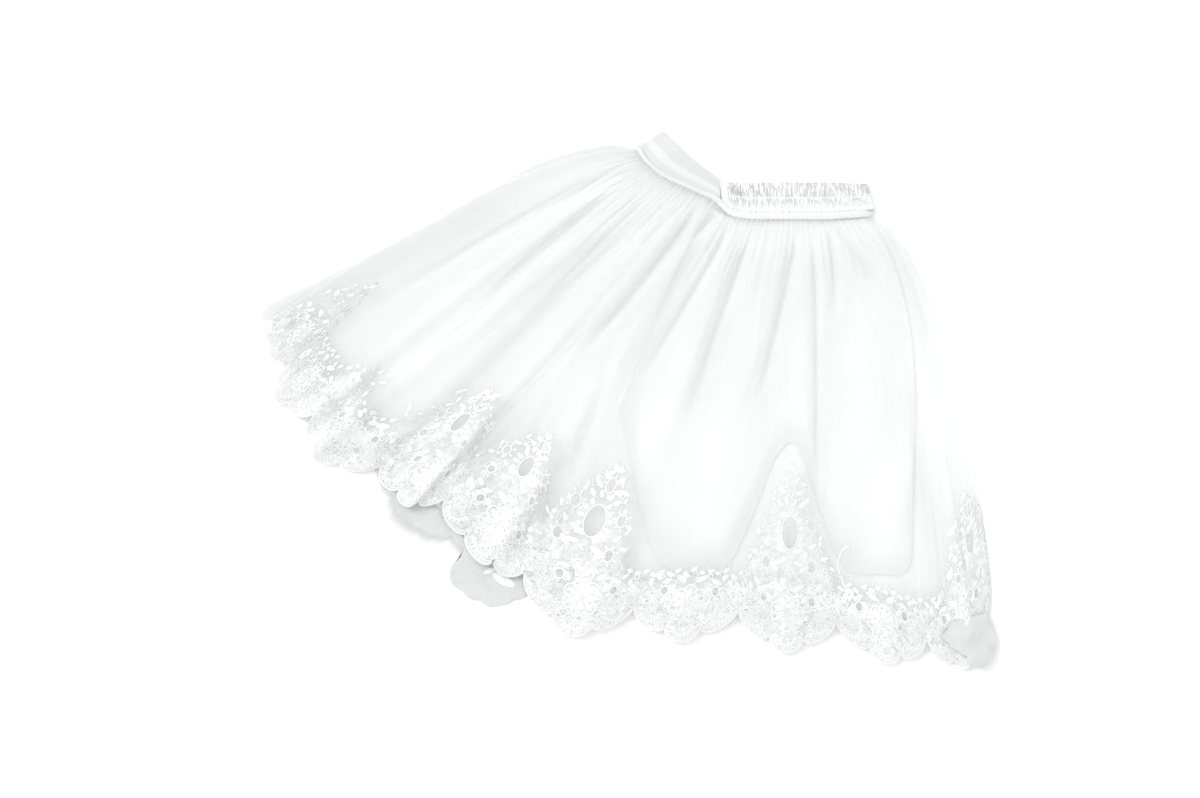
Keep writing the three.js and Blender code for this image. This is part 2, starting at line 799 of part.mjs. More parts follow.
skirt.add(meshOf("band_back", backBandGeometry(), bandColour, 0.7));

// The origin lies under the middle of the skirt, on the surface it rests on.
const bounds = new THREE.Box3().setFromObject(skirt);
const middle = bounds.getCenter(new THREE.Vector3());
skirt.position.set(-middle.x, -middle.y, -bounds.min.z);

export default skirt;
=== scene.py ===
import math
import random

import bmesh
import bpy
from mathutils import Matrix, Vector


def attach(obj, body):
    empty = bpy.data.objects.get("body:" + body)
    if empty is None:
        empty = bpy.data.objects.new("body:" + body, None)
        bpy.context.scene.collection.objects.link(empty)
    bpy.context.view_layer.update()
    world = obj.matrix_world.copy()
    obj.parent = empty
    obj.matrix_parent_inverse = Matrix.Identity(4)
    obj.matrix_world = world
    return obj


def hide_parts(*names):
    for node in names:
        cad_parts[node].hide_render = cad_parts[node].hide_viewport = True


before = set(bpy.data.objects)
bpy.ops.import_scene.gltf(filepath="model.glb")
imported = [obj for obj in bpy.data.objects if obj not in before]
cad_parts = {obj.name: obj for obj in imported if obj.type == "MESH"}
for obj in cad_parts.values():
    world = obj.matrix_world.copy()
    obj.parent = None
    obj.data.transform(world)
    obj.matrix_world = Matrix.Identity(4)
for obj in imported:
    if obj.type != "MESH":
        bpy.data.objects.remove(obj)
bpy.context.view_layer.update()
scene = bpy.context.scene
mm = 0.001

# The skirt's own sizes, in millimetres. The hem is counted in columns, two to a gather at the waist and
# twelve to a scallop.
skirtSizes = {
    "columns": 120,
    "seamColumn": 56,
    "perScallop": 12,
    "columnCloth": 11.17,
    "gatherHeight": 1.3,
    "gatherReach": 0.34,
    "underTop": 1.2,
    "netFloor": 1.6,
    "netOverLining": 9.5,
    "edgeRoll": 42.0,
    "netWall": 1.1,
    "centreX": -0.0737,
    "centreY": -0.2826,
}
columnCount = skirtSizes["columns"]
seamColumn = skirtSizes["seamColumn"]

# column, waist x and y, bend x and y, hem x and y
rays = (
    (0, 15.6, 326.3, -123.5, 335.4, -455.0, 109.2),
    (6, 20.8, 317.2, -117.0, 296.4, -416.0, 88.4),
    (12, 27.3, 308.1, -113.1, 260.0, -423.8, 57.2),
    (18, 33.8, 301.6, -107.9, 231.4, -410.8, 31.2),
    (24, 41.6, 295.1, -100.1, 208.0, -396.5, -14.3),
    (30, 52.0, 288.6, -84.5, 187.2, -358.8, -44.2),
    (36, 65.0, 282.1, -62.4, 169.0, -312.0, -80.6),
    (42, 80.6, 275.6, -32.5, 156.0, -252.2, -96.2),
    (48, 97.5, 267.8, 0.0, 140.4, -229.0, -123.0),
    (54, 114.4, 260.0, 26.0, 122.2, -165.1, -161.2),
    (60, 133.9, 241.8, 55.9, 97.5, -127.4, -217.1),
    (66, 152.1, 236.6, 78.0, 78.0, -54.6, -256.1),
    (72, 170.3, 235.3, 104.0, 65.0, 13.0, -263.9),
    (78, 188.5, 235.3, 143.0, 58.5, 80.6, -262.6),
    (84, 208.0, 235.3, 182.0, 52.0, 146.9, -267.8),
    (90, 226.2, 235.3, 221.0, 45.5, 209.3, -275.6),
    (96, 244.4, 235.3, 260.0, 45.5, 273.0, -282.1),
    (102, 263.9, 235.3, 308.1, 71.5, 334.1, -288.6),
    (108, 282.1, 236.6, 351.0, 104.0, 390.0, -304.0),
    (114, 301.6, 237.9, 390.0, 136.5, 438.1, -292.0),
    (120, 321.1, 240.5, 429.0, 179.4, 474.5, -240.0),
)

# share of the way from waist to hem, height of the cloth
puff = ((0, 9), (0.05, 20), (0.12, 30), (0.24, 27), (0.4, 19), (0.6, 14), (0.8, 11), (1, 8), (1.2, 5))

# from column, to column, start share, end share, start half width, end half width, height
folds = (
    (6, 5, 0.05, 0.8, 14, 26, 7),
    (13, 12, 0.05, 0.9, 10, 18, -6),
    (18, 26, 0.08, 1.3, 9, 16, 7),
    (21, 31, 0.12, 0.85, 7, 14, -6),
    (31, 28, 0.1, 1.3, 12, 18, 9),
    (38, 37, 0.1, 1.3, 12, 20, -9),
    (44, 43, 0.1, 1.3, 12, 18, 9),
    (48, 47, 0.06, 0.6, 6, 12, 6),
    (51, 50, 0.04, 0.66, 5, 13, -9),
    (50, 52, 0.7, 1.3, 14, 18, -8),
    (55, 56, 0.08, 1.3, 9, 18, 8),
    (58, 55, 0.02, 0.16, 4, 6, -6),
    (53, 60, 0.5, 0.85, 8, 12, -6),
    (63, 61, 0.02, 0.6, 5, 13, -7),
    (63, 63, 0.75, 1.3, 12, 20, -8),
    (68, 68, 0.06, 1.3, 10, 26, 6),
    (72, 72, 0.03, 0.7, 8, 17, -9),
    (78, 78, 0.06, 1.3, 10, 30, 5),
    (89, 83, 0.02, 0.6, 6, 13, -8),
    (92, 90, 0.06, 1.3, 8, 30, 5),
    (95, 94, 0.03, 0.8, 4, 9, -5),
    (101, 99, 0.02, 0.34, 4, 8, -5),
    (104, 103, 0.1, 1.3, 10, 28, 5),
    (103, 111, 0.02, 0.3, 4, 8, -5),
    (111, 111, 0.62, 1.3, 7, 9, -5),
    (114, 115, 0.1, 1.3, 9, 12, 5),
    (118, 117, 0.06, 0.55, 5, 9, -4),
)

# Fine creases over the folds: the same columns, with narrow widths and the depth last.
creases = (
    (9, 14, 0.04, 0.34, 2.2, 4.5, -1.6),
    (13, 17, 0.03, 0.4, 2.0, 4.0, -1.5),
    (17, 27, 0.05, 0.66, 2.2, 5.0, -2.2),
    (24, 29, 0.06, 0.5, 2.0, 4.5, -1.4),
    (28, 33, 0.03, 0.42, 2.0, 4.0, -1.5),
    (33, 36, 0.04, 0.62, 2.4, 6.0, -2.0),
    (27, 28, 0.55, 1.1, 3.0, 5.0, 2.2),
    (41, 40, 0.03, 0.5, 2.0, 4.5, -1.6),
    (46, 44, 0.02, 0.3, 1.8, 4.0, -1.6),
    (49, 48, 0.04, 0.55, 1.8, 3.4, 1.8),
    (51, 50, 0.02, 0.62, 1.7, 3.6, -2.6),
    (53, 52, 0.02, 0.28, 1.6, 3.0, -1.6),
    (57, 55, 0.01, 0.2, 1.5, 2.6, -2.2),
    (60, 59, 0.02, 0.34, 1.8, 3.0, -1.8),
    (63, 61, 0.01, 0.56, 1.6, 4.0, -2.8),
    (66, 65, 0.02, 0.3, 1.6, 3.0, 1.4),
    (69, 68, 0.02, 0.24, 1.6, 3.0, -1.5),
    (72, 72, 0.02, 0.64, 1.8, 5.0, -2.6),
    (75, 76, 0.02, 0.2, 1.5, 2.6, -1.6),
    (79, 79, 0.02, 0.3, 1.6, 3.2, -1.4),
    (86, 85, 0.02, 0.26, 1.5, 3.0, -1.6),
    (89, 83, 0.01, 0.56, 1.8, 4.4, -2.6),
    (95, 94, 0.02, 0.82, 1.6, 3.4, -2.8),
    (98, 98, 0.02, 0.22, 1.5, 2.6, -1.6),
    (101, 99, 0.01, 0.32, 1.5, 3.0, -2.2),
    (103, 111, 0.01, 0.3, 1.6, 3.4, -2.0),
    (108, 113, 0.01, 0.24, 1.6, 3.0, -1.6),
    (112, 115, 0.02, 0.22, 1.5, 3.0, -1.4),
    (118, 117, 0.06, 0.52, 1.8, 3.6, -2.2),
    (112, 111, 0.6, 1.05, 2.2, 3.4, -2.0),
    (115, 116, 0.66, 1.05, 2.2, 3.4, -1.8),
    (108, 107, 0.7, 1.0, 2.6, 4.0, -1.2),
)


def smooth(low, high, x):
    t = min(max((x - low) / (high - low), 0.0), 1.0)
    return t * t * (3 - 2 * t)


def lerp(a, b, t):
    return a + (b - a) * t


def between(table, index, at):
    last = len(table) - 1
    i = 0
    while i < last - 1 and table[i + 1][0] <= at:
        i += 1

    def slope(j):
        a, b = table[max(j - 1, 0)], table[min(j + 1, last)]
        return (b[index] - a[index]) / (b[0] - a[0])

    run = table[i + 1][0] - table[i][0]
    t = (at - table[i][0]) / run
    p0, p1 = table[i][index], table[i + 1][index]
    if t > 1:
        return p1 + slope(i + 1) * run * (t - 1)
    t2, t3 = t * t, t * t * t
    start = p0 * (2 * t3 - 3 * t2 + 1) + p1 * (3 * t2 - 2 * t3)
    return start + slope(i) * run * (t3 - 2 * t2 + t) + slope(i + 1) * run * (t3 - t2)


def bend(a, b, c, share):
    rest = 1 - share
    return rest * rest * a + 2 * rest * share * b + share * share * c


rayCache = {}


def rayAt(column):
    key = round(column, 3)
    if key not in rayCache:
        rayCache[key] = tuple(between(rays, index, column) for index in range(1, 7))
    return rayCache[key]


def planPoint(column, share):
    wx, wy, bx, by, hx, hy = rayAt(column)
    return bend(wx, bx, hx, share), bend(wy, by, hy, share)


def columnPitch(share):
    return 2.7 + 6.6 * share


def foldSum(table, column, share):
    total = 0.0
    pitch = columnPitch(share)
    for first, last, start, end, startWidth, endWidth, height in table:
        if share <= start or share >= end:
            continue
        along = (share - start) / (end - start)
        across = (column - lerp(first, last, along)) * pitch / lerp(startWidth, endWidth, along)
        if abs(across) > 3:
            continue
        fade = smooth(0, 0.25, along) * (1 - smooth(0.7, 1, along))
        total += height * fade * math.exp(-across * across)
    return total


# Small soft ripples of the net, the same every run.
rippleSeed = random.Random(11)
ripples = [
    (rippleSeed.uniform(0, 120), rippleSeed.uniform(0.05, 0.6), rippleSeed.uniform(0.25, 0.5),
     rippleSeed.uniform(-3, 3), rippleSeed.uniform(-1.1, 1.1))
    for _ in range(46)
]
rippleFolds = tuple(
    (column, column + drift, start, start + reach, 2.0, 5.0, depth)
    for column, start, reach, drift, depth in ripples
)


def gatherAt(column, share):
    reach = 1 - smooth(0.02, skirtSizes["gatherReach"], share)
    uneven = 0.75 + 0.5 * math.sin(column * 1.7) * math.sin(column * 0.61 + 1.3)
    return uneven * reach * (0.5 - 0.5 * math.cos(math.pi * column))


def netHeight(column, share):
    edge = min(column, columnCount - column) * columnPitch(share)
    near = 1 - min(max(edge / skirtSizes["edgeRoll"], 0.0), 1.0)
    roll = math.sqrt(1 - near * near)
    lift = between(puff, 1, share) + foldSum(folds, column, share)
    lift += skirtSizes["gatherHeight"] * gatherAt(column, share)
    over = smooth(30, 52, column) * (1 - smooth(0.98, 1.1, share))
    base = skirtSizes["netFloor"]
    floor = base + (skirtSizes["netOverLining"] - base) * over * roll
    fine = foldSum(creases, column, share) + foldSum(rippleFolds, column, share)
    return max(floor, base + lift * roll) + fine * roll + skirtSizes["netWall"] + 0.4


# Painted shade and light on the net: its tone is lower, so darker and more covering, in the valleys of folds,
# creases and ripples and between the gathers at the waist. It is higher, so lighter, on their ridges.
def tone(column, share):
    foldShade = foldSum(creases, column, share) / 2.6 + foldSum(folds, column, share) / 15
    foldShade += foldSum(rippleFolds, column, share) / 4
    gatherShade = (gatherAt(column, share) - 0.35) * 0.4 * (1 - smooth(0.02, 0.3, share))
    return math.tanh(foldShade + gatherShade)


# One fine table of the net's surface, read by every piece that lies on it.
perColumn = 4
rowCount = 132
lastShare = 1.1


def buildSurface():
    rows = []
    for j in range(rowCount + 1):
        share = lastShare * j / rowCount
        row = []
        for i in range(columnCount * perColumn + 1):
            column = i / perColumn
            x, y = planPoint(column, share)
            row.append((x, y, netHeight(column, share), tone(column, share)))
        rows.append(row)
    return rows


surface = buildSurface()
print("surface table done")


def surfaceAt(column, share):
    u = min(max(column * perColumn, 0.0), columnCount * perColumn - 1e-6)
    v = min(max(share / lastShare * rowCount, 0.0), rowCount - 1e-6)
    i, j = int(u), int(v)
    fu, fv = u - i, v - j
    a, b = surface[j][i], surface[j][i + 1]
    c, d = surface[j + 1][i], surface[j + 1][i + 1]
    return tuple(lerp(lerp(a[k], b[k], fu), lerp(c[k], d[k], fu), fv) for k in range(4))


def toFrame(x, y, z):
    return Vector(((x + skirtSizes["centreX"]) * mm, (y + skirtSizes["centreY"]) * mm, z * mm))


def rayLength(column):
    ax, ay = planPoint(column, 0.7)
    bx, by = planPoint(column, 1)
    return math.hypot(bx - ax, by - ay) / 0.3


lengths = [rayLength(i) for i in range(columnCount + 1)]


def lengthAt(column):
    i = min(max(int(column), 0), columnCount - 1)
    return lerp(lengths[i], lengths[i + 1], min(max(column - i, 0.0), 1.0))


# A point of the lace: column along the hem, millimetres up from it, millimetres off the net.
def lacePoint(column, up, off):
    share = 1 - up / lengthAt(column)
    x, y, z, _ = surfaceAt(column, min(share, 1.0))
    if share > 1:
        x, y = planPoint(column, share)
        z = max(skirtSizes["underTop"] + 0.7, z + up * 0.15)
    return toFrame(x, y, z + off)


class Wire:
    def __init__(self, tree, value):
        self.tree = tree
        self.value = value

    def node(self, kind, inputs=(), output=0, **settings):
        made = self.tree.nodes.new(kind)
        for name, setting in settings.items():
            setattr(made, name, setting)
        for key, item in dict(inputs).items():
            item = item.value if isinstance(item, Wire) else item
            if isinstance(item, bpy.types.NodeSocket):
                self.tree.links.new(item, made.inputs[key])
            else:
                made.inputs[key].default_value = item
        return Wire(self.tree, made.outputs[output])

    def math(self, operation, *items):
        return self.node("ShaderNodeMath", dict(enumerate(items)), operation=operation)

    def __add__(self, other):
        return self.math("ADD", self, other)

    def __sub__(self, other):
        return self.math("SUBTRACT", self, other)

    def __rsub__(self, other):
        return self.math("SUBTRACT", other, self)

    def __mul__(self, other):
        return self.math("MULTIPLY", self, other)

    def ramp(self, low, high, to0=0.0, to1=1.0):
        inputs = {0: self, 1: low, 2: high, 3: to0, 4: to1}
        return self.node("ShaderNodeMapRange", inputs, interpolation_type="SMOOTHSTEP")

    def mixColour(self, a, b):
        return self.node("ShaderNodeMix", {0: self, 6: a, 7: b}, output=2, data_type="RGBA")

    def attribute(self, name):
        return self.node("ShaderNodeAttribute", output=2, attribute_name=name)

    def place(self):
        return self.node("ShaderNodeTexCoord", output=3)

    def clothPlace(self):
        return self.node("ShaderNodeUVMap", output=0, uv_map="cloth")

    def noise(self, at, scale, detail=2.0):
        return self.node("ShaderNodeTexNoise", {"Vector": at, "Scale": scale, "Detail": detail})

    def voronoi(self, at, scale, feature):
        return self.node("ShaderNodeTexVoronoi", {"Vector": at, "Scale": scale}, feature=feature)

    def wave(self, at, scale, direction):
        inputs = {"Vector": at, "Scale": scale, "Distortion": 0.0}
        return self.node("ShaderNodeTexWave", inputs, bands_direction=direction, output=1)

    def bump(self, strength, distance):
        inputs = {"Height": self, "Strength": strength, "Distance": distance}
        return self.node("ShaderNodeBump", inputs)


def newMaterial(name):
    material = bpy.data.materials.new(name)
    material.use_nodes = True
    tree = material.node_tree
    tree.nodes.clear()
    return material, Wire(tree, None)


def finishMaterial(start, shader, coverage=None):
    tree = start.tree
    out = tree.nodes.new("ShaderNodeOutputMaterial")
    if coverage is None:
        tree.links.new(shader.value, out.inputs[0])
        return
    clear = start.node("ShaderNodeBsdfTransparent")
    mixed = start.node("ShaderNodeMixShader", {0: coverage, 1: clear, 2: shader})
    tree.links.new(mixed.value, out.inputs[0])


def grey(value, cool=0.006):
    return (value - cool, value + cool * 0.4, value, 1.0)


def netMaterial(name, coverLow, coverHigh, dark, light):
    material, start = newMaterial(name)
    toned = start.attribute("tone")
    at = start.clothPlace()
    shade = toned.ramp(-0.9, 0.7)
    cloud = start.noise(at, 9.0, 3.0).ramp(0.3, 0.7)
    mesh = start.wave(at, 330.0, "X") * start.wave(at, 330.0, "Y")
    # Painted shade: the colour follows the tone attribute, darker and more covering where it is low, with a
    # little random cloudiness.
    colour = (shade * 0.85 + cloud * 0.15).mixColour(grey(dark), grey(light))
    shader = start.node("ShaderNodeBsdfPrincipled", {
        "Base Color": colour, "Roughness": 0.75, "Sheen Weight": 0.15, "Specular IOR Level": 0.15,
    })
    cover = (1.0 - shade).ramp(0.0, 1.0, coverLow, coverHigh) + mesh * 0.12 - 0.06
    finishMaterial(start, shader, cover)
    return material


netTopMaterial = netMaterial("netTop", 0.36, 0.6, 0.71, 0.805)
netUnderMaterial = netMaterial("netUnder", 0.3, 0.75, 0.72, 0.92)


def satinMaterial():
    material, start = newMaterial("liningSatin")
    at = start.place()
    weave = start.noise(at, 900.0, 2.0)
    soft = start.noise(at, 14.0, 2.0)
    satin = soft.ramp(0.3, 0.7).mixColour((0.85, 0.87, 0.86, 1), (0.88, 0.895, 0.89, 1))
    # Painted shade: darker grey towards the lining's edges, from the tone attribute.
    colour = start.attribute("tone").mixColour(grey(0.79), satin)
    shader = start.node("ShaderNodeBsdfPrincipled", {
        "Base Color": colour, "Roughness": 0.45, "Specular IOR Level": 0.3,
        "Normal": weave.bump(0.15, 0.0002),
    })
    finishMaterial(start, shader)
    return material


liningMaterial = satinMaterial()


# Embroidered net: soft pads of stitching over a fine ground, and thin winding lines near the hem painted
# dark, a painted shade where the ground sinks between the threads.
def groundMaterial(name, dark, light, line, cover):
    material, start = newMaterial(name)
    at = start.clothPlace()
    height = start.node("ShaderNodeSeparateXYZ", {0: at}, output=1)
    low = 1.0 - height.ramp(0.015, 0.08)
    sway = start.noise(at, 60.0, 2.0)
    shifted = start.node("ShaderNodeVectorMath", {0: at, 1: sway * 0.02}, operation="ADD")
    pads = start.node("ShaderNodeTexVoronoi", {"Vector": shifted, "Scale": 120.0}, output=1)
    edges = 1.0 - start.voronoi(shifted, 120.0, "DISTANCE_TO_EDGE").ramp(0.02, 0.16)
    dense = start.noise(at, 34.0, 3.0).ramp(0.36, 0.62)
    winding = start.math("SINE", start.noise(at, 95.0, 1.0) * 46.0)
    shadeLines = winding.ramp(0.35, 0.95) * (low * 0.85 + dense * 0.15)
    padded = (pads * 0.55 + dense * 0.3 + edges * 0.15).mixColour(grey(dark), grey(light))
    # Painted shade: the winding lines are painted much darker than the ground.
    colour = (shadeLines * line).mixColour(padded, grey(dark * 0.68))
    shader = start.node("ShaderNodeBsdfPrincipled", {
        "Base Color": colour, "Roughness": 0.8, "Specular IOR Level": 0.15,
        "Normal": (edges * 0.5 + pads * 0.4 - shadeLines * line).bump(0.35, 0.0005),
    })
    filled = start.attribute("tone")
    finishMaterial(start, shader, (pads * 0.25 + dense * 0.15 + low * 0.2 + cover) * filled)
    return material


def cordMaterial(name, dark, light, veil):
    material, start = newMaterial(name)
    at = start.clothPlace()
    stitch = start.wave(at, 260.0, "DIAGONAL")
    fleck = start.noise(at, 120.0, 2.0).ramp(0.35, 0.65)
    crisp = (stitch * 0.5 + fleck * 0.5).mixColour(grey(dark, 0.003), grey(light, 0.003))
    colour = start.attribute("tone").mixColour(grey(veil, 0.003), crisp)
    shader = start.node("ShaderNodeBsdfPrincipled", {
        "Base Color": colour, "Roughness": 0.6, "Sheen Weight": 0.1, "Specular IOR Level": 0.25,
        "Normal": stitch.bump(0.4, 0.0004),
    })
    finishMaterial(start, shader)
    return material


laceGroundMaterial = groundMaterial("laceGround", 0.77, 0.87, 0.9, 0.42)
# The lower layer's lace is the same white lace painted much darker: painted shade, as it lies in shadow under
# the upper layer.
laceUnderShadedMaterial = groundMaterial("laceUnder", 0.58, 0.64, 0.0, 0.9)
laceCordMaterial = cordMaterial("laceCord", 0.72, 0.79, 0.7)
lacePetalMaterial = cordMaterial("lacePetal", 0.77, 0.85, 0.73)
print("materials done")


def newPiece(name, bm, materials, replaced=()):
    mesh = bpy.data.meshes.new(name)
    bm.to_mesh(mesh)
    bm.free()
    piece = bpy.data.objects.new(name, mesh)
    scene.collection.objects.link(piece)
    for material in materials:
        mesh.materials.append(material)
    for polygon in mesh.polygons:
        polygon.use_smooth = True
    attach(piece, "root")
    if replaced:
        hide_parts(*replaced)
    return piece


# A grid moved point by point: place(u, v) gives the point, and cloth(u, v) its place on the cut cloth.
def gridInto(bm, across, along, place, cloth, materialIndex=0, toneOf=None):
    toneLayer = bm.verts.layers.float.get("tone") or bm.verts.layers.float.new("tone")
    uvLayer = bm.loops.layers.uv.get("cloth") or bm.loops.layers.uv.new("cloth")
    made = bmesh.ops.create_grid(bm, x_segments=across, y_segments=along, size=0.5)["verts"]
    spots = {}
    for vert in made:
        u, v = vert.co.x + 0.5, vert.co.y + 0.5
        spots[vert] = cloth(u, v)
        vert.co = place(u, v)
        if toneOf:
            vert[toneLayer] = toneOf(u, v)
    faces = {face for vert in made for face in vert.link_faces}
    for face in faces:
        face.material_index = materialIndex
        for loop in face.loops:
            loop[uvLayer].uv = spots[loop.vert]


# Where a point drawn in millimetres lies on the flat cloth.
def clothOf(spot):
    return lambda u, v: [k * mm for k in spot(u, v)]


def turnUp(bm):
    for face in bm.faces:
        if face.normal.z < 0:
            face.normal_flip()


netSizes = {"across": 3, "along": 110}


def netPiece(name, first, last, replaced):
    bm = bmesh.new()
    span = last - first

    def where(u, v):
        return first + span * u, 1 - v

    def place(u, v):
        x, y, z, _ = surfaceAt(*where(u, v))
        return toFrame(x, y, z)

    def cloth(u, v):
        column, share = where(u, v)
        return column * skirtSizes["columnCloth"] * mm, (1 - share) * 0.6

    def toneOf(u, v):
        return surfaceAt(*where(u, v))[3]

    gridInto(bm, span * netSizes["across"], netSizes["along"], place, cloth, 0, toneOf)
    return newPiece(name, bm, [netTopMaterial], [replaced])


netFront = netPiece("netFront", 0, seamColumn, "tulle_front")
netBack = netPiece("netBack", seamColumn, columnCount, "tulle_back")
print("net done")

# The lining's rays: waist x and y, bend x and y, hem x and y.
liningRays = (
    (0, 112.0, 250.0, 52.0, 150.0, -4.0, -12.0),
    (1, 122.0, 243.0, 66.0, 96.0, 18.0, -130.0),
    (2, 140.0, 237.0, 90.0, 30.0, 42.0, -206.0),
    (3, 160.0, 234.0, 118.0, 10.0, 82.0, -225.0),
    (4, 180.0, 233.0, 148.0, 5.0, 128.0, -222.0),
    (5, 200.0, 233.0, 178.0, 60.0, 166.0, -150.0),
    (6, 218.0, 233.0, 206.0, 90.0, 196.0, -74.0),
    (7, 236.0, 233.0, 232.0, 100.0, 226.0, -60.0),
    (8, 254.0, 233.0, 254.0, 60.0, 256.0, -150.0),
    (9, 272.0, 233.0, 284.0, 20.0, 286.0, -218.0),
    (10, 290.0, 234.0, 316.0, 30.0, 330.0, -226.0),
    (11, 304.0, 235.0, 350.0, 100.0, 370.0, -214.0),
    (12, 316.0, 237.0, 392.0, 140.0, 374.0, -100.0),
)
liningSizes = {
    "topFloor": 4.3,
    "underFloor": 2.6,
    "edge": 1.35,
    "across": 144,
    "along": 120,
    "wave": 3.4,
    "waveLength": 74.0,
}


def liningPiece(name, floor, wave, replaced):
    bm = bmesh.new()

    def place(u, v):
        ray = (len(liningRays) - 1) * u
        share = 1 - v
        wx, wy, bx, by, hx, hy = (between(liningRays, index, ray) for index in range(1, 7))
        x, y = bend(wx, bx, hx, share), bend(wy, by, hy, share)
        across = math.sin((x - 0.2 * y) / liningSizes["waveLength"] * math.tau)
        along = math.sin((y + 0.4 * x) / (2.3 * liningSizes["waveLength"]) * math.tau)
        inner = smooth(0.0, 0.14, v) * smooth(0.0, 0.07, u) * smooth(0.0, 0.05, 1 - u)
        full = floor + wave / 2 * (1 + across * (0.6 + 0.4 * along))
        return toFrame(x, y, lerp(liningSizes["edge"] + floor * 0.1, full, inner))

    # Near its side and hem edges the satin is painted darker: painted shade that blends it into the greyer
    # net around it.
    def edgeShadeAt(u, v):
        side = smooth(0.0, 0.06, u) * smooth(-0.01, 0.01, 1 - u)
        return side * smooth(0.0, lerp(0.16, 0.06, smooth(0.7, 0.85, u)), v)

    gridInto(bm, liningSizes["across"], liningSizes["along"], place,
             lambda u, v: (u * 0.6, v * 0.5), 0, edgeShadeAt)
    return newPiece(name, bm, [liningMaterial], [replaced])


liningTop = liningPiece("liningTop", liningSizes["topFloor"], liningSizes["wave"], "lining_top")
liningUnder = liningPiece("liningUnder", liningSizes["underFloor"], 0.0, "lining_under")
print("lining done")

laceSizes = {
    "lowTop": 48.0,
    "archCurve": 1.5,
    "lobeHalf": 2,
    "cuspDepth": 29.0,
    "notchDepth": 4.0,
    "middleBulge": 20.0,
    "sideBulge": 14.0,
    "groundOff": 0.5,
    "motifOff": 0.6,
    "relief": 0.5,
    "petalRise": 1.0,
    "openRise": 80,
    "openHalf": 7.0,
    "streaks": 60,
}
columnCloth = skirtSizes["columnCloth"]
perScallop = skirtSizes["perScallop"]

# column of each arch's tip, climb past the low border, half width in columns
laceArches = (
    (6, 58, 5), (24, 44, 4), (40, 90, 8), (53, 84, 7), (64, 128, 6), (90, 148, 6), (117, 92, 6),
)


def laceTop(column):
    climb = 0.0
    for tip, rise, half in laceArches:
        share = min(abs(column - tip) / half, 1.0)
        climb = max(climb, rise * (1 - share ** laceSizes["archCurve"]))
    return laceSizes["lowTop"] + climb


def laceBottom(column):
    half = perScallop / 2
    across = abs(column % perScallop - half)
    if across < laceSizes["lobeHalf"]:
        side = across / laceSizes["lobeHalf"]
        return -laceSizes["cuspDepth"] - laceSizes["middleBulge"] * math.sqrt(1 - side * side)
    along = (across - laceSizes["lobeHalf"]) / (half - laceSizes["lobeHalf"])
    side = 2 * along - 1
    cusps = lerp(laceSizes["cuspDepth"], laceSizes["notchDepth"], along)
    return -cusps - laceSizes["sideBulge"] * math.sqrt(max(1 - side * side, 0.0))


# Openings of an arch: columns from its tip, share of its rise, half width and half height. Openings of a
# scallop: columns from its middle, height, half width and half height.
archOpenings = (
    (0, 0.76, 5, 10), (0, 0.36, 12, 21), (-3, 0.45, 6, 8), (3, 0.45, 6, 8), (-3, 0.08, 6, 7), (3, 0.08, 6, 7),
)
scallopOpenings = ((-3, 16, 4, 5), (3, 16, 4, 5))


def openingsOf():
    found = []
    for scallop in range(2, columnCount // perScallop):
        middle = (scallop + 0.5) * perScallop
        for offset, t, wide, high in scallopOpenings:
            found.append(((middle + offset) * columnCloth, t, wide, high))
    for tip, rise, _ in laceArches:
        if rise >= laceSizes["openRise"]:
            for offset, climb, wide, high in archOpenings:
                size = min(rise / 128, 1.0)
                t = laceSizes["lowTop"] + climb * rise
                found.append(((tip + offset) * columnCloth, t, wide * size, high * size))
    return found


laceOpenings = openingsOf()
# Small openings are open here, and elsewhere a thin ground fills them.
openColumns = (96, 108)


# Half width of the opening at a point, or 0 where there is none.
def inOpening(x, t, margin):
    for at, up, wide, high in laceOpenings:
        if ((x - at) / (wide + margin)) ** 2 + ((t - up) / (high + margin)) ** 2 < 1:
            return wide
    return 0


crispSizes = {"foldColumn": 90.5, "foldHalf": 6.5, "fold": 0.75, "left": 0.4, "low": 0.8}


# How clearly a motif shows: 1 is crisp and 0 is veiled. It is softer under a fold of net, on the left arches
# and low on each scallop.
def crispAt(x, t):
    column = x / columnCloth
    fold = math.exp(-((column - crispSizes["foldColumn"]) / crispSizes["foldHalf"]) ** 4)
    veil = fold * smooth(-30, 10, t)
    left = smooth(24, 30, column) * (1 - smooth(54, 58, column)) * smooth(20, 60, t)
    low = 1 - smooth(0, 30, t)
    return max(1 - crispSizes["fold"] * veil - crispSizes["left"] * left - crispSizes["low"] * low, 0.0)


# Motifs are drawn on the flat cloth: x along the hem and t up from it, in millimetres.
def flatToFrame(x, t, off):
    return lacePoint(x / columnCloth, t, off)


def ribbonInto(bm, points, width, rise, index=0):
    last = len(points) - 1

    def spot(u, v):
        i = round(u * last)
        x, t = points[i]
        ax, at = points[max(i - 1, 0)]
        bx, bt = points[min(i + 1, last)]
        run = math.hypot(bx - ax, bt - at) or 1.0
        side = (v - 0.5) * width
        return x - (bt - at) / run * side, t + (bx - ax) / run * side

    def place(u, v):
        x, t = spot(u, v)
        dome = rise * laceSizes["relief"] * crispAt(x, t) * (1 - (2 * v - 1) ** 2)
        return flatToFrame(x, t, laceSizes["motifOff"] + dome)

    gridInto(bm, last, 2, place, clothOf(spot), index, lambda u, v: crispAt(*spot(u, v)))


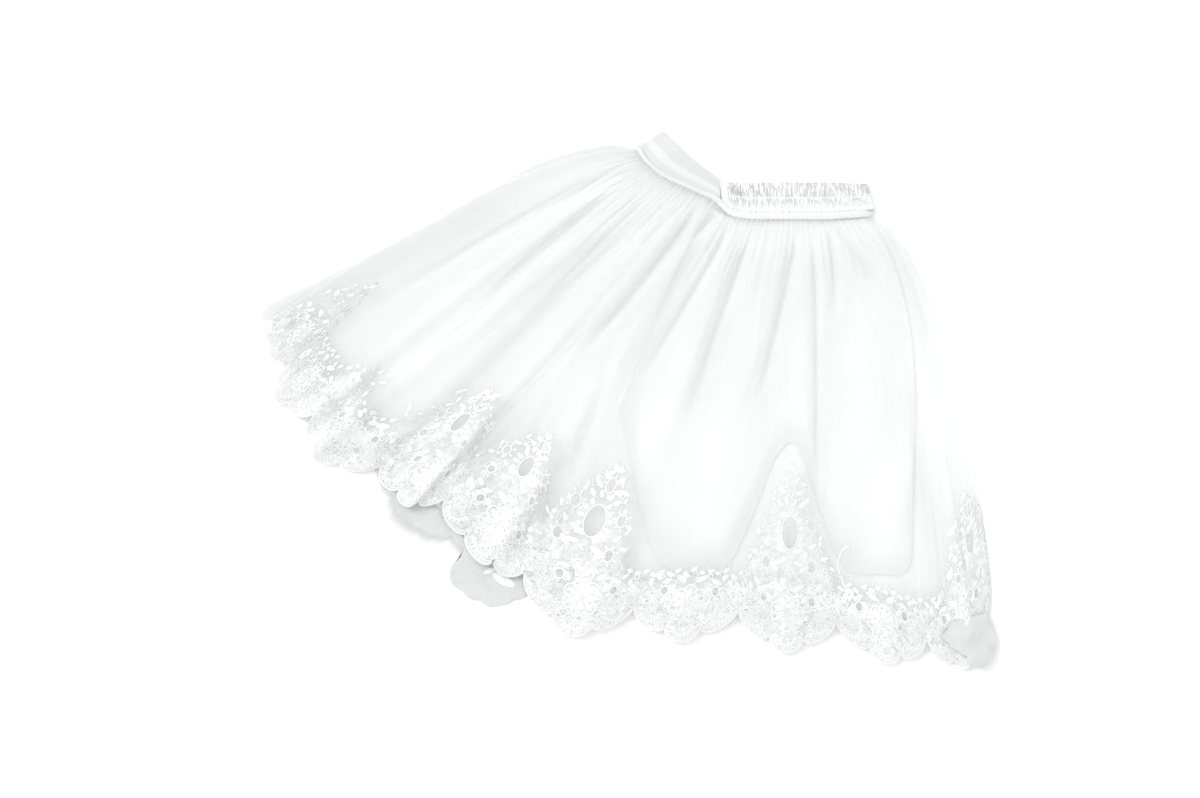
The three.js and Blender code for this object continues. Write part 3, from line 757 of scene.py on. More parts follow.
def petalInto(bm, x, t, turn, length, width, rise, index=1):
    cosine, sine = math.cos(turn), math.sin(turn)

    def spot(u, v):
        half = width / 2 * math.sin(math.pi * u ** 0.75) ** 0.8 if 0 < u < 1 else 0.0
        a, b = length * u, (2 * v - 1) * half
        return x + a * cosine - b * sine, t + a * sine + b * cosine

    def place(u, v):
        px, pt = spot(u, v)
        dome = (0.35 + 0.65 * math.sin(math.pi * u)) * (1 - (2 * v - 1) ** 2)
        return flatToFrame(px, pt, laceSizes["motifOff"] + rise * laceSizes["relief"] * dome)

    gridInto(bm, 6, 4, place, clothOf(spot), index, lambda u, v: crispAt(*spot(u, v)))


def arcPoints(x, t, rx, rt, start, end, count):
    steps = [start + (end - start) * i / count for i in range(count + 1)]
    return [(x + rx * math.cos(a), t + rt * math.sin(a)) for a in steps]


def ringInto(bm, x, t, rx, rt, width, rise, index=0):
    ribbonInto(bm, arcPoints(x, t, rx, rt, 0, math.tau, 16), width, rise, index)


def scrollInto(bm, x, t, radius, start, turns, width, rise, index=0):
    count = int(14 * abs(turns)) + 4
    points = []
    for i in range(count + 1):
        share = i / count
        angle = start + turns * math.tau * share
        reach = radius * (1 - 0.78 * share)
        points.append((x + reach * math.cos(angle), t + reach * math.sin(angle)))
    ribbonInto(bm, points, width, rise, index)


# A leaf has a raised vein of darker cord.
def leafInto(bm, x, t, turn, length, width, rise):
    petalInto(bm, x, t, turn, length, width, rise)
    vein = [(x + length * k / 5 * math.cos(turn), t + length * k / 5 * math.sin(turn)) for k in range(6)]
    ribbonInto(bm, vein, 0.7, rise + 0.4, 0)


def flowerInto(bm, x, t, radius, petals, turn):
    for i in range(petals):
        angle = turn + math.tau * i / petals
        away = radius * 0.18
        petalInto(bm, x + away * math.cos(angle), t + away * math.sin(angle), angle,
                  radius * 0.85, radius * 0.8, laceSizes["petalRise"])
    ringInto(bm, x, t, radius * 0.2, radius * 0.2, radius * 0.16, 2.0, 0)


petalSeed = random.Random(5)


# Petals round an opening, pointing outwards, with a cord against it.
def wreathInto(bm, x, t, rx, rt, petals, length, skip=0.0):
    ringInto(bm, x, t, rx + 1.2, rt + 1.2, 2.2, 1.4, 1)
    for i in range(petals):
        angle = math.tau * (i + 0.5) / petals
        if abs(math.cos(angle)) < skip:
            continue
        reach = length * petalSeed.uniform(0.8, 1.15)
        petalInto(bm, x + (rx + 2.5) * math.cos(angle), t + (rt + 2.5) * math.sin(angle),
                  angle + petalSeed.uniform(-0.15, 0.15), reach, length * 0.55, 1.2)


def roseInto(bm, x, t, radius, turn):
    for ring, (count, away, size) in enumerate(((7, 0.68, 0.4), (6, 0.42, 0.3), (4, 0.2, 0.2))):
        for i in range(count):
            angle = turn + ring * 0.5 + math.tau * i / count
            cx, ct = x + away * radius * math.cos(angle), t + away * radius * math.sin(angle)
            arc = arcPoints(cx, ct, size * radius, size * radius, angle - 1.7, angle + 1.7, 8)
            ribbonInto(bm, arc, radius * 0.11, 1.4 + 0.3 * ring, 1)
            petalInto(bm, lerp(x, cx, 0.5), lerp(t, ct, 0.5), angle, size * radius * 1.6,
                      size * radius * 0.75, 0.9, 1)
    scrollInto(bm, x, t, radius * 0.2, turn, 1.4, radius * 0.1, 2.0, 0)


# Leaves on both sides of an arch's axis: x, share of the arch's rise, degrees, length and width.
archLeaves = (
    (2, 0.9, 78, 17, 8), (6, 0.8, 52, 16, 7), (8, 0.7, 24, 18, 7), (4, 0.6, 62, 13, 7),
    (12, 0.58, 36, 18, 8), (26, 0.62, 64, 12, 6), (3, 0.19, 12, 24, 7), (6, 0.11, -14, 26, 7),
    (30, 0.22, 38, 16, 7), (46, 0.3, 66, 12, 6), (46, 0.14, 20, 14, 6), (14, 0.02, 28, 20, 7),
)
archScrolls = ((22, 0.7, 6, 30, 1.2), (46, 0.2, 7, 200, -1.3), (22, 0.06, 6, 100, 1.2))
scallopLeaves = (
    (6, 26, 30, 20, 7), (26, 30, -18, 16, 6), (40, 30, 44, 14, 6), (52, 22, 78, 12, 6), (20, 12, 50, 14, 6),
)

# Leaves and flowers that stand alone: column, t, degrees, length, width.
loneLeaves = (
    (3.6, 60, 128, 17, 7), (4.7, 68, 40, 15, 7), (6.2, 92, 95, 20, 8), (6.4, 96, 60, 18, 8),
    (8.1, 12, 70, 20, 9), (24.9, 84, 50, 16, 7),
    (26.4, 78, 20, 14, 6), (31.6, 30, 30, 22, 9), (33.4, 68, 120, 18, 7),
    (36.0, 122, 40, 22, 8), (37.4, 60, 70, 20, 7), (38.0, 84, 30, 16, 7), (40.8, 128, 20, 20, 8),
    (112.4, 58, 60, 20, 9), (113.0, 112, 24, 30, 9), (116.4, 92, 10, 26, 9), (110.6, 34, 80, 16, 8),
)
loneFlowers = ((23.3, 56, 14, 5), (12.8, 10, 11, 6), (45.4, 96, 10, 5), (97.8, 30, 8, 5), (54.6, 70, 9, 5))


def bordered(first, last, x, reach):
    return first * columnCloth + 2 < x - reach and x + reach < last * columnCloth - 2


def fanInto(bm, x, t, inner, outer, start, end, count):
    for i in range(count):
        angle = lerp(start, end, i / (count - 1))
        length = (outer - inner) * petalSeed.uniform(0.85, 1.1)
        petalInto(bm, x + inner * math.cos(angle), t + inner * math.sin(angle), angle, length, 4.2, 1.1)
    ribbonInto(bm, arcPoints(x, t, inner - 1, inner - 1, start, end, 10), 1.3, 1.3, 0)


def scallopInto(bm, scallop):
    middle = (scallop + 0.5) * perScallop * columnCloth
    fanInto(bm, middle, -27, 9, 18, math.pi + 0.25, math.tau - 0.25, 9)
    for side in (-1, 1):
        fanInto(bm, middle + side * 43, -10, 8, 17, math.pi * 1.5 - 1.25, math.pi * 1.5 + 1.25, 8)
        roseInto(bm, middle + side * 44, -2, 8, scallop)
        for x, t, degrees, length, width in scallopLeaves:
            angle = math.radians(degrees if side > 0 else 180 - degrees)
            leafInto(bm, middle + side * x, t, angle, length * petalSeed.uniform(0.85, 1.1), width, 1.2)
        wreathInto(bm, middle + side * 33.5, 16, 4, 5, 7, 5)
        scrollInto(bm, middle + side * 56, 8, 7, side, side * 1.2, 1.6, 1.2)
    roseInto(bm, middle, 0, 21, 0.4 * scallop)


def archInto(bm, tip, rise):
    middle = tip * columnCloth
    low = laceSizes["lowTop"]
    size = min(rise / 128, 1.0)
    for side in (-1, 1):
        for x, climb, degrees, length, width in archLeaves:
            angle = math.radians(degrees if side > 0 else 180 - degrees)
            scale = size * petalSeed.uniform(0.85, 1.15)
            at, t = middle + side * x * size, low + climb * rise
            leafInto(bm, at, t, angle, length * scale, width * scale, 1.4)
        for x, climb, radius, degrees, turns in archScrolls:
            start = math.radians(degrees if side > 0 else 180 - degrees)
            at, t = middle + side * x * size, low + climb * rise
            scrollInto(bm, at, t, radius, start, side * turns, 1.8, 1.2)
    if rise >= laceSizes["openRise"]:
        for offset, climb, wide, high in archOpenings:
            at, t = middle + offset * columnCloth, low + climb * rise
            large = high > 15
            wreathInto(bm, at, t, wide * size, high * size, 15 if large else 7, 11 if large else 6,
                       0.35 if large else 0.0)


# The top of the low border: a garland of leaves and small loops along it.
def garlandInto(bm, first, last):
    steps = int((last - first) * columnCloth / 11)
    for i in range(steps):
        column = lerp(first + 0.6, last - 0.6, (i + 0.5) / steps)
        ahead = min(column + 0.4, last)
        slope = math.atan2(laceTop(ahead) - laceTop(column - 0.4), 0.8 * columnCloth)
        turn = slope + (0.5 if i % 2 else -0.4) + petalSeed.uniform(-0.3, 0.3)
        t = laceTop(column) - 9
        x = column * columnCloth
        if bordered(first, last, x, 12) and not inOpening(x, t, 4):
            leafInto(bm, x, t, turn, petalSeed.uniform(9, 14), 5.5, 1.2)
            if i % 3 == 0:
                ringInto(bm, x - 5, t - 5, 3.4, 3.0, 1.4, 1.1, 1)


# Short stitches fan out from the middle of each scallop and fill the ground between the motifs.
def streaksInto(bm, scallop):
    middle = (scallop + 0.5) * perScallop * columnCloth
    for _ in range(laceSizes["streaks"]):
        x = middle + petalSeed.uniform(-64, 64)
        column = x / columnCloth
        t = lerp(laceBottom(column) + 8, laceTop(column) - 4, petalSeed.random() ** 1.2)
        length, curl = petalSeed.uniform(5, 10), petalSeed.uniform(-0.6, 0.6)
        if inOpening(x, t, 7):
            continue
        angle = math.atan2(t + 60, x - middle) + petalSeed.uniform(-0.5, 0.5)
        points = []
        for k in range(4):
            turn = angle + curl * k / 3
            points.append((x + length * k / 3 * math.cos(turn), t + length * k / 3 * math.sin(turn)))
        if bordered(0, columnCount, points[-1][0], 3):
            ribbonInto(bm, points, petalSeed.uniform(0.8, 1.5), 0.6, petalSeed.choice((0, 0, 1)))


def edgeInto(bm, first, last):
    steps = int((last - first) * 6)
    columns = [lerp(first + 0.1, last - 0.1, i / steps) for i in range(steps + 1)]
    for inset, width, rise, index in ((1.2, 2.2, 1.5, 1), (5.6, 1.3, 1.0, 0)):
        ribbonInto(bm, [(c * columnCloth, laceBottom(c) + inset) for c in columns], width, rise, index)
    loops = int((last - first) * columnCloth / 5.4)
    for i in range(loops):
        column = lerp(first + 0.4, last - 0.4, (i + 0.5) / loops)
        ringInto(bm, column * columnCloth, laceBottom(column) + 3.2, 1.8, 1.8, 0.8, 1.1, i % 2)


def laceGround(name, first, last, replaced):
    bm = bmesh.new()
    span = last - first

    def spot(u, v):
        column = first + span * u
        return column, lerp(laceBottom(column) + 0.8, laceTop(column), v)

    def place(u, v):
        column, t = spot(u, v)
        return lacePoint(column, t, laceSizes["groundOff"])

    def cloth(u, v):
        column, t = spot(u, v)
        return column * columnCloth * mm, t * mm

    def filled(u, v):
        column, t = spot(u, v)
        side = lerp(0.6, 1.0, smooth(14, 26, column))
        thin = 0.5 if inOpening(column * columnCloth, t, 0.6) else 1.0
        return thin * side * (1 - smooth(0.6, 1.0, v))

    gridInto(bm, span * 5, 80, place, cloth, 0, filled)
    uvLayer = bm.loops.layers.uv["cloth"]
    holes = []
    for face in bm.faces:
        spots = [loop[uvLayer].uv for loop in face.loops]
        x = sum(spot.x for spot in spots) / len(spots) / mm
        wide = inOpening(x, sum(spot.y for spot in spots) / len(spots) / mm, 0.6)
        if wide > laceSizes["openHalf"] or wide and openColumns[0] < x / columnCloth < openColumns[1]:
            holes.append(face)
    bmesh.ops.delete(bm, geom=holes, context="FACES")
    return newPiece(name, bm, [laceGroundMaterial], [replaced])


# Each motif is made in a mesh of its own and added when it is done, which keeps the making quick.
def joinInto(bm, make, *sizes):
    part = bmesh.new()
    make(part, *sizes)
    mesh = bpy.data.meshes.new("part")
    part.to_mesh(mesh)
    part.free()
    bm.from_mesh(mesh)
    bpy.data.meshes.remove(mesh)


def tendrilInto(bm):
    points = [(97.9, 30), (97.3, 40), (96.8, 52), (96.5, 64), (96.7, 76), (97.3, 86), (98.0, 92), (98.6, 91),
              (98.8, 85)]
    ribbonInto(bm, [(column * columnCloth, t) for column, t in points], 2.4, 1.6, 1)


def laceMotifs(name, first, last):
    bm = bmesh.new()
    joinInto(bm, edgeInto, first, last)
    joinInto(bm, garlandInto, first, last)
    for scallop in range(columnCount // perScallop):
        if first < (scallop + 0.4) * perScallop < last:
            joinInto(bm, scallopInto, scallop)
            joinInto(bm, streaksInto, scallop)
    for tip, rise, _ in laceArches:
        if first < tip < last:
            joinInto(bm, archInto, tip, rise)
    for column, t, degrees, length, width in loneLeaves:
        if first < column < last:
            joinInto(bm, leafInto, column * columnCloth, t, math.radians(degrees), length, width, 1.6)
    for column, t, radius, petals in loneFlowers:
        if first < column < last:
            joinInto(bm, flowerInto, column * columnCloth, t, radius, petals, column)
    if first < 97 < last:
        joinInto(bm, tendrilInto)
    return newPiece(name, bm, [laceCordMaterial, lacePetalMaterial])


laceFront = laceGround("laceFront", 0, seamColumn, "lace_front")
laceBack = laceGround("laceBack", seamColumn, columnCount, "lace_back")
laceFrontMotifs = laceMotifs("laceFrontMotifs", 0, seamColumn)
laceBackMotifs = laceMotifs("laceBackMotifs", seamColumn, columnCount)
print("lace done", len(laceFrontMotifs.data.polygons), len(laceBackMotifs.data.polygons))

# The lower layer's edges: from the waist to the tip, from the waist to the right corner, and the hem.
underLeft = ((15.6, 326.3), (-27.3, 331.5), (-105.3, 312.0), (-167.7, 279.5), (-261.3, 224.9),
             (-354.9, 176.8), (-417.3, 146.9), (-464.1, 124.8), (-479.5, 103.5))
underRight = ((321.1, 239.0), (360.0, 205.0), (388.0, 143.0), (405.9, 65.0), (428.0, -26.0),
              (450.1, -101.4), (467.0, -169.0), (476.0, -240.0), (468.0, -270.0))
underHem = ((-479.5, 103.5), (-444.6, 97.5), (-422.5, 26.0), (-370.5, -52.0), (-300.0, -96.0),
            (-136.5, -205.0), (-84.5, -250.0), (19.5, -254.0), (149.5, -256.0), (266.5, -270.0),
            (357.5, -300.4), (409.5, -305.2), (468.0, -270.0))
underCorners = ((underLeft[0], underRight[0]), (underLeft[-1], underRight[-1]))
# x, y and how far the side from there bulges, as a share of its length
underScallopsFront = (
    (-326.5, -88.0, 0.1), (-319.8, -105.0, 0.2), (-309.7, -127.0, 0.2), (-309.7, -145.0, 0.25),
    (-302.4, -165.0, 0.15), (-276.3, -179.0, 0.2), (-253.1, -187.0, 0.2), (-231.3, -183.6, 0.1),
    (-213.9, -204.0, 0), (-225.6, -217.0, 0.25), (-209.6, -249.0, 0.2), (-189.3, -259.0, 0.2),
    (-163.1, -266.0, 0.15), (-145.7, -259.0, 0.15), (-126.9, -251.0, 0),
)
underScallopsBack = (
    (410.0, -306.0, 0.1), (418.2, -314.0, 0.1), (429.9, -324.0, 0.1), (441.6, -331.0, 0.1),
    (449.4, -343.0, 0.15), (461.1, -347.0, 0.12), (472.7, -341.0, 0.12), (479.0, -327.0, 0.02),
    (479.6, -305.5, 0),
)


def curveAt(points, along):
    spread = along * (len(points) - 1)
    table = [(i, point[0], point[1]) for i, point in enumerate(points)]
    return between(table, 1, spread), between(table, 2, spread)


def bulgedAt(rows, along):
    spread = min(along * (len(rows) - 1), len(rows) - 1.0001)
    i = int(spread)
    part = spread - i
    (x, y, bulge), (nextX, nextY, _) = rows[i], rows[i + 1]
    out = 4 * bulge * part * (1 - part)
    return lerp(x, nextX, part) + (nextY - y) * out, lerp(y, nextY, part) - (nextX - x) * out


def underNetSpot(u, v):
    waist = planPoint(u * columnCount, 0)
    hem, left, right = curveAt(underHem, u), curveAt(underLeft, 1 - v), curveAt(underRight, 1 - v)
    down = 1 - v
    point = []
    for k in (0, 1):
        sides = lerp(left[k], right[k], u) + lerp(waist[k], hem[k], down)
        corners = lerp(*(lerp(a[k], b[k], u) for a, b in underCorners), down)
        point.append(sides - corners)
    return point


# The lower layer is painted darker and covers more at its left tip, where it lies folded double: partly the
# real extra cloth, partly painted shade. Towards the right it is lighter and thinner.
def underTone(u, v):
    return lerp(-0.7, lerp(0.12, 0.6, smooth(0.5, 0.75, u)), smooth(0.04, 0.14, u))


def underPiece():
    bm = bmesh.new()

    def place(u, v):
        return toFrame(*underNetSpot(u, v), skirtSizes["underTop"])

    gridInto(bm, 120, 60, place, clothOf(underNetSpot), 0, underTone)
    turnUp(bm)
    return newPiece("netUnder", bm, [netUnderMaterial], ["tulle_under"])


netUnder = underPiece()

# Height of the cloth near a point by the right end of the hem.
cornerSpots = [surfaceAt(106 + 0.5 * i, 0.86 + 0.04 * j) for i in range(29) for j in range(7)]


def cornerHeight(x, y):
    total = weights = 0.0
    for sx, sy, sz, _ in cornerSpots:
        weight = 1 / (math.hypot(sx - x, sy - y) + 4) ** 3
        total += sz * weight
        weights += weight
    return total / weights


# A row of scallops from its outer edge in to a straight line, as lobes that lap a little at their cusps.
def scallopPiece(name, rows, lobes, petals, heightAt, replaced):
    bm = bmesh.new()
    for first, last, inner, rise, rim in lobes:
        lobe = rows[first:last + 1]

        def spot(u, v):
            outer, (start, end) = bulgedAt(lobe, u), inner
            return tuple(lerp(outer[k], lerp(start[k], end[k], u), v) for k in (0, 1))

        def place(u, v):
            x, y = spot(u, v)
            return toFrame(x, y, heightAt(x, y) + rise)

        joinInto(bm, gridInto, 80, 14, place, clothOf(spot), 0,
                 lambda u, v: lerp(rim, 1.0, smooth(0, 0.6, v)))
    for at, reach, turn in petals:
        def leaf(u, v):
            a, b = (2 * u - 1) * reach, (2 * v - 1) * 0.36 * reach * math.sqrt(1 - (2 * u - 1) ** 2)
            x = at[0] + a * math.cos(turn) - b * math.sin(turn)
            y = at[1] + a * math.sin(turn) + b * math.cos(turn)
            return toFrame(x, y, heightAt(x, y) + 1.2)

        joinInto(bm, gridInto, 12, 4, leaf, lambda u, v: (u * 0.03, v * 0.01), 1, lambda u, v: 1.0)
    turnUp(bm)
    return newPiece(name, bm, [laceUnderShadedMaterial, lacePetalMaterial], [replaced])


# first and last row, inner side from and to, rise, how full the ground is at the rim
lobesFront = (
    (0, 8, ((-311.0, -98.0), (-200.0, -168.0)), 0.3, 0.2),
    (8, 14, ((-200.0, -168.0), (-137.5, -216.0)), 0.7, 0.8),
)
lobesBack = ((0, 8, ((424.0, -287.0), (468.5, -275.0)), 3.4, 1.0),)
# middle, half length, turn
petalsFront = (((-158.0, -234.0), 17, -0.5), ((-176.0, -222.0), 9, 0.4))
laceUnderFront = scallopPiece("laceUnderFront", underScallopsFront, lobesFront, petalsFront,
                              lambda x, y: skirtSizes["underTop"], "lace_under_front")
laceUnderBack = scallopPiece("laceUnderBack", underScallopsBack, lobesBack, (), cornerHeight,
                             "lace_under_back")
print("under layer done")

bandSizes = {
    "wall": 1.5,
    "start": 6.4,
    "frontStart": 3.4,
    "frontFold": 6.0,
    "height": 11.0,
    "backFold": 8.0,
    "width": 38.0,
    "columnCloth": 2.6,
}
bindingSizes = {
    "wall": 1.0,
    "start": -1.8,
    "frontWidth": 4.4,
    "backWidth": 7.4,
    "puff": 9.0,
    "over": 1.5,
    "lowest": 4.0,
}
frontBandEdge = (
    (0, 50.7, 347.1), (12, 65.0, 332.8), (24, 80.6, 317.2), (36, 98.8, 302.9), (48, 114.4, 291.2),
    (56.2, 123.0, 282.8),
)
backBandEdge = (
    (56, 122.6, 282.6), (60, 132.6, 281.4), (72, 169.0, 281.4), (96, 243.1, 281.4), (108, 276.9, 281.4),
    (120, 309.4, 280.2),
)


def waistNormal(column):
    ax, ay = planPoint(max(column - 1, 0), 0)
    bx, by = planPoint(min(column + 1, columnCount), 0)
    run = math.hypot(bx - ax, by - ay)
    return (ay - by) / run, (bx - ax) / run


# A strip runs over its top, round a fold, and back beneath. Each part of its way: share of the way where
# it ends, kind, and the columns it goes from and to.
def stripPoint(strip, q, share, lift):
    start = 0.0
    for end, kind, first, last in strip["way"]:
        if q <= end or end == 1:
            break
        start = end
    along = min(max((q - start) / (end - start), 0.0), 1.0)
    column = lerp(first, last, along)
    low = strip["height"](column)
    radius = (low - strip["wall"] / 2) / 2
    tilt = {
        "top": 0.0, "under": math.pi, "turnDown": along * math.pi, "turnUp": math.pi - along * math.pi,
    }[kind]
    z = low if kind == "top" else strip["wall"] / 2
    away = 0.0
    if kind.startswith("turn"):
        z = strip["wall"] / 2 + radius * (1 + math.cos(tilt))
        away = radius * math.sin(tilt)
    wx, wy = planPoint(column, 0)
    nx, ny = waistNormal(column)
    lowX, lowY = wx + nx * strip["start"], wy + ny * strip["start"]
    highX, highY = strip["high"](column, wx, wy, nx, ny)
    outX, outY = (ny, -nx) if column > seamColumn else (-ny, nx)
    reach = strip["wall"] / 2 + lift * max(math.cos(tilt), 0.0)
    sine = math.sin(tilt)
    x = lerp(lowX, highX, share) + outX * (away + reach * sine)
    y = lerp(lowY, highY, share) + outY * (away + reach * sine)
    return toFrame(x, y, z + math.cos(tilt) * reach), column


def stripPiece(name, strip, across, along, lift, materials, replaced):
    bm = bmesh.new()

    def place(u, v):
        point, column = stripPoint(strip, u, v, 0.0)
        return stripPoint(strip, u, v, lift(column, v))[0]

    def cloth(u, v):
        column = stripPoint(strip, u, v, 0.0)[1]
        return column * bandSizes["columnCloth"] * mm, v * bandSizes["width"] * mm

    gridInto(bm, across, along, place, cloth)
    bmesh.ops.remove_doubles(bm, verts=bm.verts, dist=1e-6)
    piece = newPiece(name, bm, materials, [replaced])
    wall = piece.modifiers.new("wall", "SOLIDIFY")
    wall.thickness = strip["wall"] * mm
    wall.offset = -1
    return piece


def edgeOf(table):
    return lambda column, wx, wy, nx, ny: (between(table, 1, column), between(table, 2, column))


def frontHeight(column):
    return lerp(bandSizes["frontFold"], bandSizes["height"], smooth(0, 20, column))


def backHeight(column):
    return lerp(bandSizes["height"], bandSizes["backFold"], smooth(100, 120, column))


def bindingHeight(column):
    edge = min(column, columnCount - column) * columnPitch(0)
    near = 1 - min(max(edge / skirtSizes["edgeRoll"], 0.0), 1.0)
    rise = bindingSizes["puff"] * math.sqrt(1 - near * near)
    return max(skirtSizes["netFloor"] + rise + bindingSizes["over"], bindingSizes["lowest"])


def bindingEdge(column, wx, wy, nx, ny):
    width = lerp(bindingSizes["frontWidth"], bindingSizes["backWidth"], smooth(48, 60, column))
    return wx + nx * width, wy + ny * width


frontStrip = {
    "wall": bandSizes["wall"], "start": bandSizes["frontStart"], "height": frontHeight,
    "high": edgeOf(frontBandEdge),
    "way": ((0.46, "under", 56.2, 0), (0.54, "turnUp", 0, 0), (1, "top", 0, 56.2)),
}
backStrip = {
    "wall": bandSizes["wall"], "start": bandSizes["start"], "height": backHeight,
    "high": edgeOf(backBandEdge),
    "way": ((0.8, "top", 56.0, 120), (0.85, "turnDown", 120, 120), (1, "under", 120, 56.0)),
}
bindingStrip = {
    "wall": bindingSizes["wall"], "start": bindingSizes["start"], "height": bindingHeight,
    "high": bindingEdge,
    "way": ((0.48, "top", 0, 120), (0.5, "turnDown", 120, 120), (0.98, "under", 120, 0),
            (1, "turnUp", 0, 0)),
}


def ribLift(column, share):
    middle = smooth(0.26, 0.32, share) * (1 - smooth(0.66, 0.72, share))
    edges = (1 - smooth(0.2, 0.26, share)) + smooth(0.78, 0.84, share)
    fine = 0.08 * math.sin(share * 150)
    return 0.6 * middle + 0.5 * edges + fine


# Two stitch lines part the shirred back into three rows of gathers: share where each row ends.
shirrRows = ((0.0, 0.17), (0.17, 0.5), (0.5, 1.0))


def shirrLift(column, share):
    for low, high in shirrRows:
        if share <= high:
            break
    inside = math.sin(math.pi * (share - low) / (high - low)) ** 0.6 if low < share < high else 0.0
    if share > 0.75:
        inside = max(inside, 0.75)
    shift = 0.5 * math.sin(column * 0.9 + low * 9) + 0.3 * math.sin(column * 2.7 + share * 4)
    crest = 0.5 - 0.5 * math.cos(math.pi * 1.3 * (column + shift))
    fine = 0.5 - 0.5 * math.cos(math.pi * 2.9 * column + 2 * math.sin(share * 9 + column))
    uneven = 0.65 + 0.35 * math.sin(column * 2.3 + share * 5)
    near = smooth(59.5, 61, column) * (1 + 0.5 * (1 - smooth(62, 78, column)))
    return (0.6 + (1.3 * crest ** 1.5 + 0.5 * fine) * uneven * near) * inside


def bandMaterial(name, kind):
    material, start = newMaterial(name)
    at = start.clothPlace()
    along = start.node("ShaderNodeSeparateXYZ", {0: at})
    across = start.node("ShaderNodeSeparateXYZ", {0: at}, output=1)
    rib = start.wave(at, 420.0, "X")
    weave = start.wave(at, 500.0, "Y")
    fleck = start.noise(at, 300.0, 2.0).ramp(0.35, 0.65)
    if kind == "tape":
        middle = across.ramp(0.009, 0.011) * (1.0 - across.ramp(0.019, 0.022))
        speck = start.noise(at, 900.0, 2.0).ramp(0.35, 0.65)
        colour = (middle * 0.6 + speck * 0.4).mixColour(grey(0.63), grey(0.74))
    elif kind == "shirred":
        # Painted shade: thin dark strokes along the creases of the shirring, a little stronger near its joint
        # with the front band and left out along the stitch line.
        slant = start.node("ShaderNodeMapping", {
            "Vector": at, "Rotation": (0.0, 0.0, 0.12), "Scale": (1.0, 0.15, 1.0),
        })
        winding = start.noise(slant, 340.0, 2.0) - 0.5
        creaseShadeStrokes = 1.0 - winding.math("ABSOLUTE", winding).ramp(0.015, 0.08)
        seamLine = (across - 0.0195).math("ABSOLUTE", across - 0.0195).ramp(0.0003, 0.0016)
        close = 1.0 - along.ramp(0.16, 0.2)
        creaseShadeMask = creaseShadeStrokes * across.ramp(0.006, 0.017) * seamLine * (close * 0.35 + 0.85)
        creaseShaded = creaseShadeMask.mixColour((fleck * 0.3).mixColour(grey(0.78), grey(0.74)), grey(0.5))
        joint = 1.0 - along.ramp(0.153, 0.156)
        colour = joint.mixColour(creaseShaded, grey(0.76))
    else:
        colour = along.ramp(0.14, 0.16).mixColour(grey(0.71), grey(0.75))
    height = rib * 0.6 + weave * 0.4
    shader = start.node("ShaderNodeBsdfPrincipled", {
        "Base Color": colour, "Roughness": 0.65, "Specular IOR Level": 0.2,
        "Normal": height.bump(0.35, 0.0003),
    })
    finishMaterial(start, shader)
    return material


tapeMaterial = bandMaterial("bandTape", "tape")
shirredMaterial = bandMaterial("bandShirred", "shirred")
bindingMaterial = bandMaterial("bindingTape", "binding")
bandFront = stripPiece("bandFront", frontStrip, 150, 40, ribLift, [tapeMaterial], "band_front")
bandBack = stripPiece("bandBack", backStrip, 640, 48, shirrLift, [shirredMaterial], "band_back")
binding = stripPiece("waistBinding", bindingStrip, 400, 6, lambda c, s: 0.5 * math.sin(math.pi * s),
                     [bindingMaterial], "waist_binding")
print("bands done")

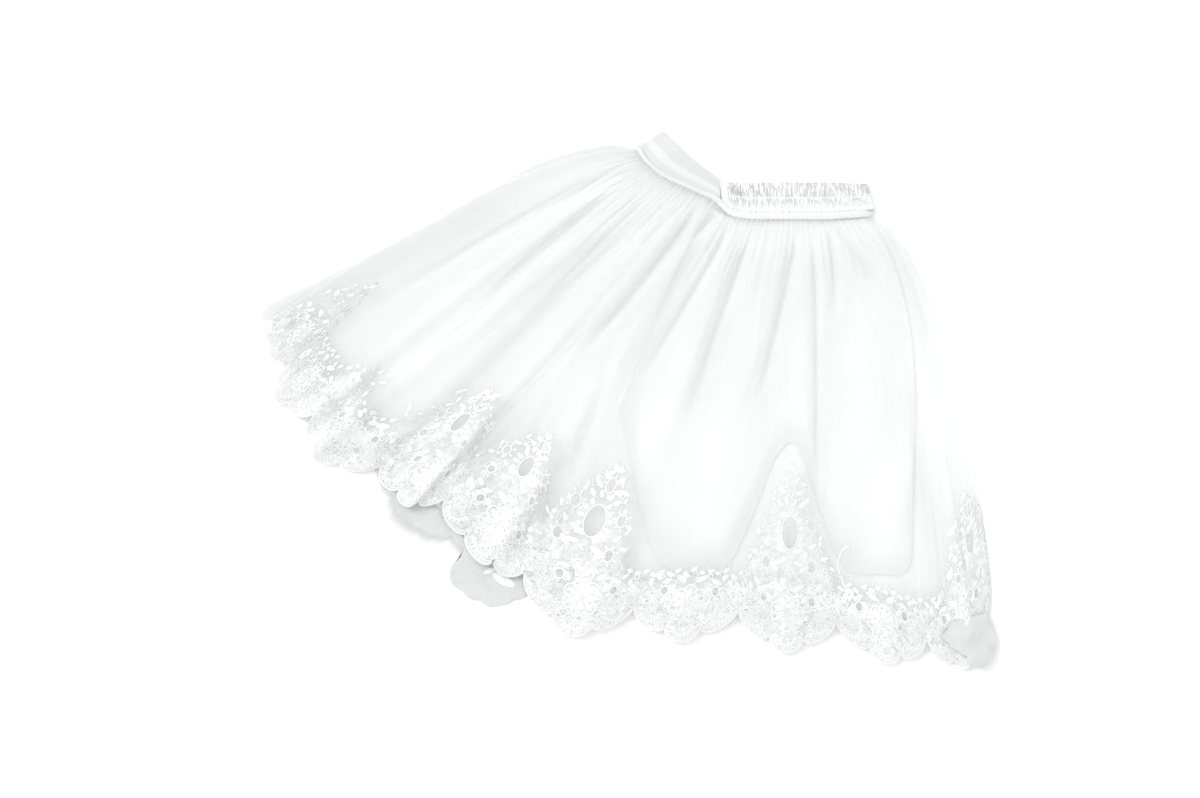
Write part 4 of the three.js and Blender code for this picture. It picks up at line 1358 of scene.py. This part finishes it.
cameraSizes = {"height": 3.2, "width": 1.56, "x": -0.0326, "y": 0.0010, "sensor": 36.0}
lightSizes = {"world": 1.06, "key": 1.35, "angle": 25, "turnX": -28, "turnY": -42, "turnZ": 0}
camera = bpy.data.cameras.new("camera")
camera.sensor_width = cameraSizes["sensor"]
camera.lens = cameraSizes["sensor"] * cameraSizes["height"] / cameraSizes["width"]
cameraObject = bpy.data.objects.new("camera", camera)
cameraObject.location = (cameraSizes["x"], cameraSizes["y"], cameraSizes["height"])
scene.collection.objects.link(cameraObject)
scene.camera = cameraObject

bm = bmesh.new()
bmesh.ops.create_grid(bm, x_segments=1, y_segments=1, size=4.0)
floorMesh = bpy.data.meshes.new("floor")
bm.to_mesh(floorMesh)
bm.free()
floor = bpy.data.objects.new("floor", floorMesh)
floor.location.z = -0.0004
scene.collection.objects.link(floor)
floorMaterial, start = newMaterial("floorPaper")
finishMaterial(start, start.node("ShaderNodeBsdfPrincipled", {
    "Base Color": (0.96, 0.96, 0.96, 1), "Roughness": 0.9, "Specular IOR Level": 0.0,
}))
floorMesh.materials.append(floorMaterial)

world = bpy.data.worlds.new("studio")
scene.world = world
world.use_nodes = True
world.node_tree.nodes["Background"].inputs[0].default_value = (1, 1, 1, 1)
world.node_tree.nodes["Background"].inputs[1].default_value = lightSizes["world"]
keyLight = bpy.data.lights.new("key", "SUN")
keyLight.energy = lightSizes["key"]
keyLight.angle = math.radians(lightSizes["angle"])
keyObject = bpy.data.objects.new("key", keyLight)
keyObject.rotation_euler = [math.radians(lightSizes[turn]) for turn in ("turnX", "turnY", "turnZ")]
scene.collection.objects.link(keyObject)
scene.view_settings.view_transform = "Standard"
# Light passes many thin layers of net and lace before it reaches the floor and comes back.
scene.cycles.transparent_max_bounces = 40
scene.cycles.diffuse_bounces = 8
scene.cycles.max_bounces = 14
print("stage done")


# Each panel is cut flared: its width at the hem, its length, and its width at the waist.
def flaredSheet(piece, hem, length, waist, **settings):
    length * (hem + waist) / 2


frontCut, backCut = (x * columnCloth * mm for x in (seamColumn, columnCount - seamColumn))
flaredSheet(netFront, frontCut, 0.54, 0.23, held="gathered", rests_on=[liningTop])
flaredSheet(netBack, backCut, 0.54, 0.28, held="gathered", rests_on=[liningTop])
flaredSheet(netUnder, frontCut + backCut, 0.54, 0.51, held="gathered", rests_on=[floor])
flaredSheet(liningTop, 0.46, 0.36, 0.32, held="laid", rests_on=[liningUnder])
flaredSheet(liningUnder, 0.46, 0.36, 0.32, held="laid", rests_on=[floor])
frontCut * 0.11
backCut * 0.11
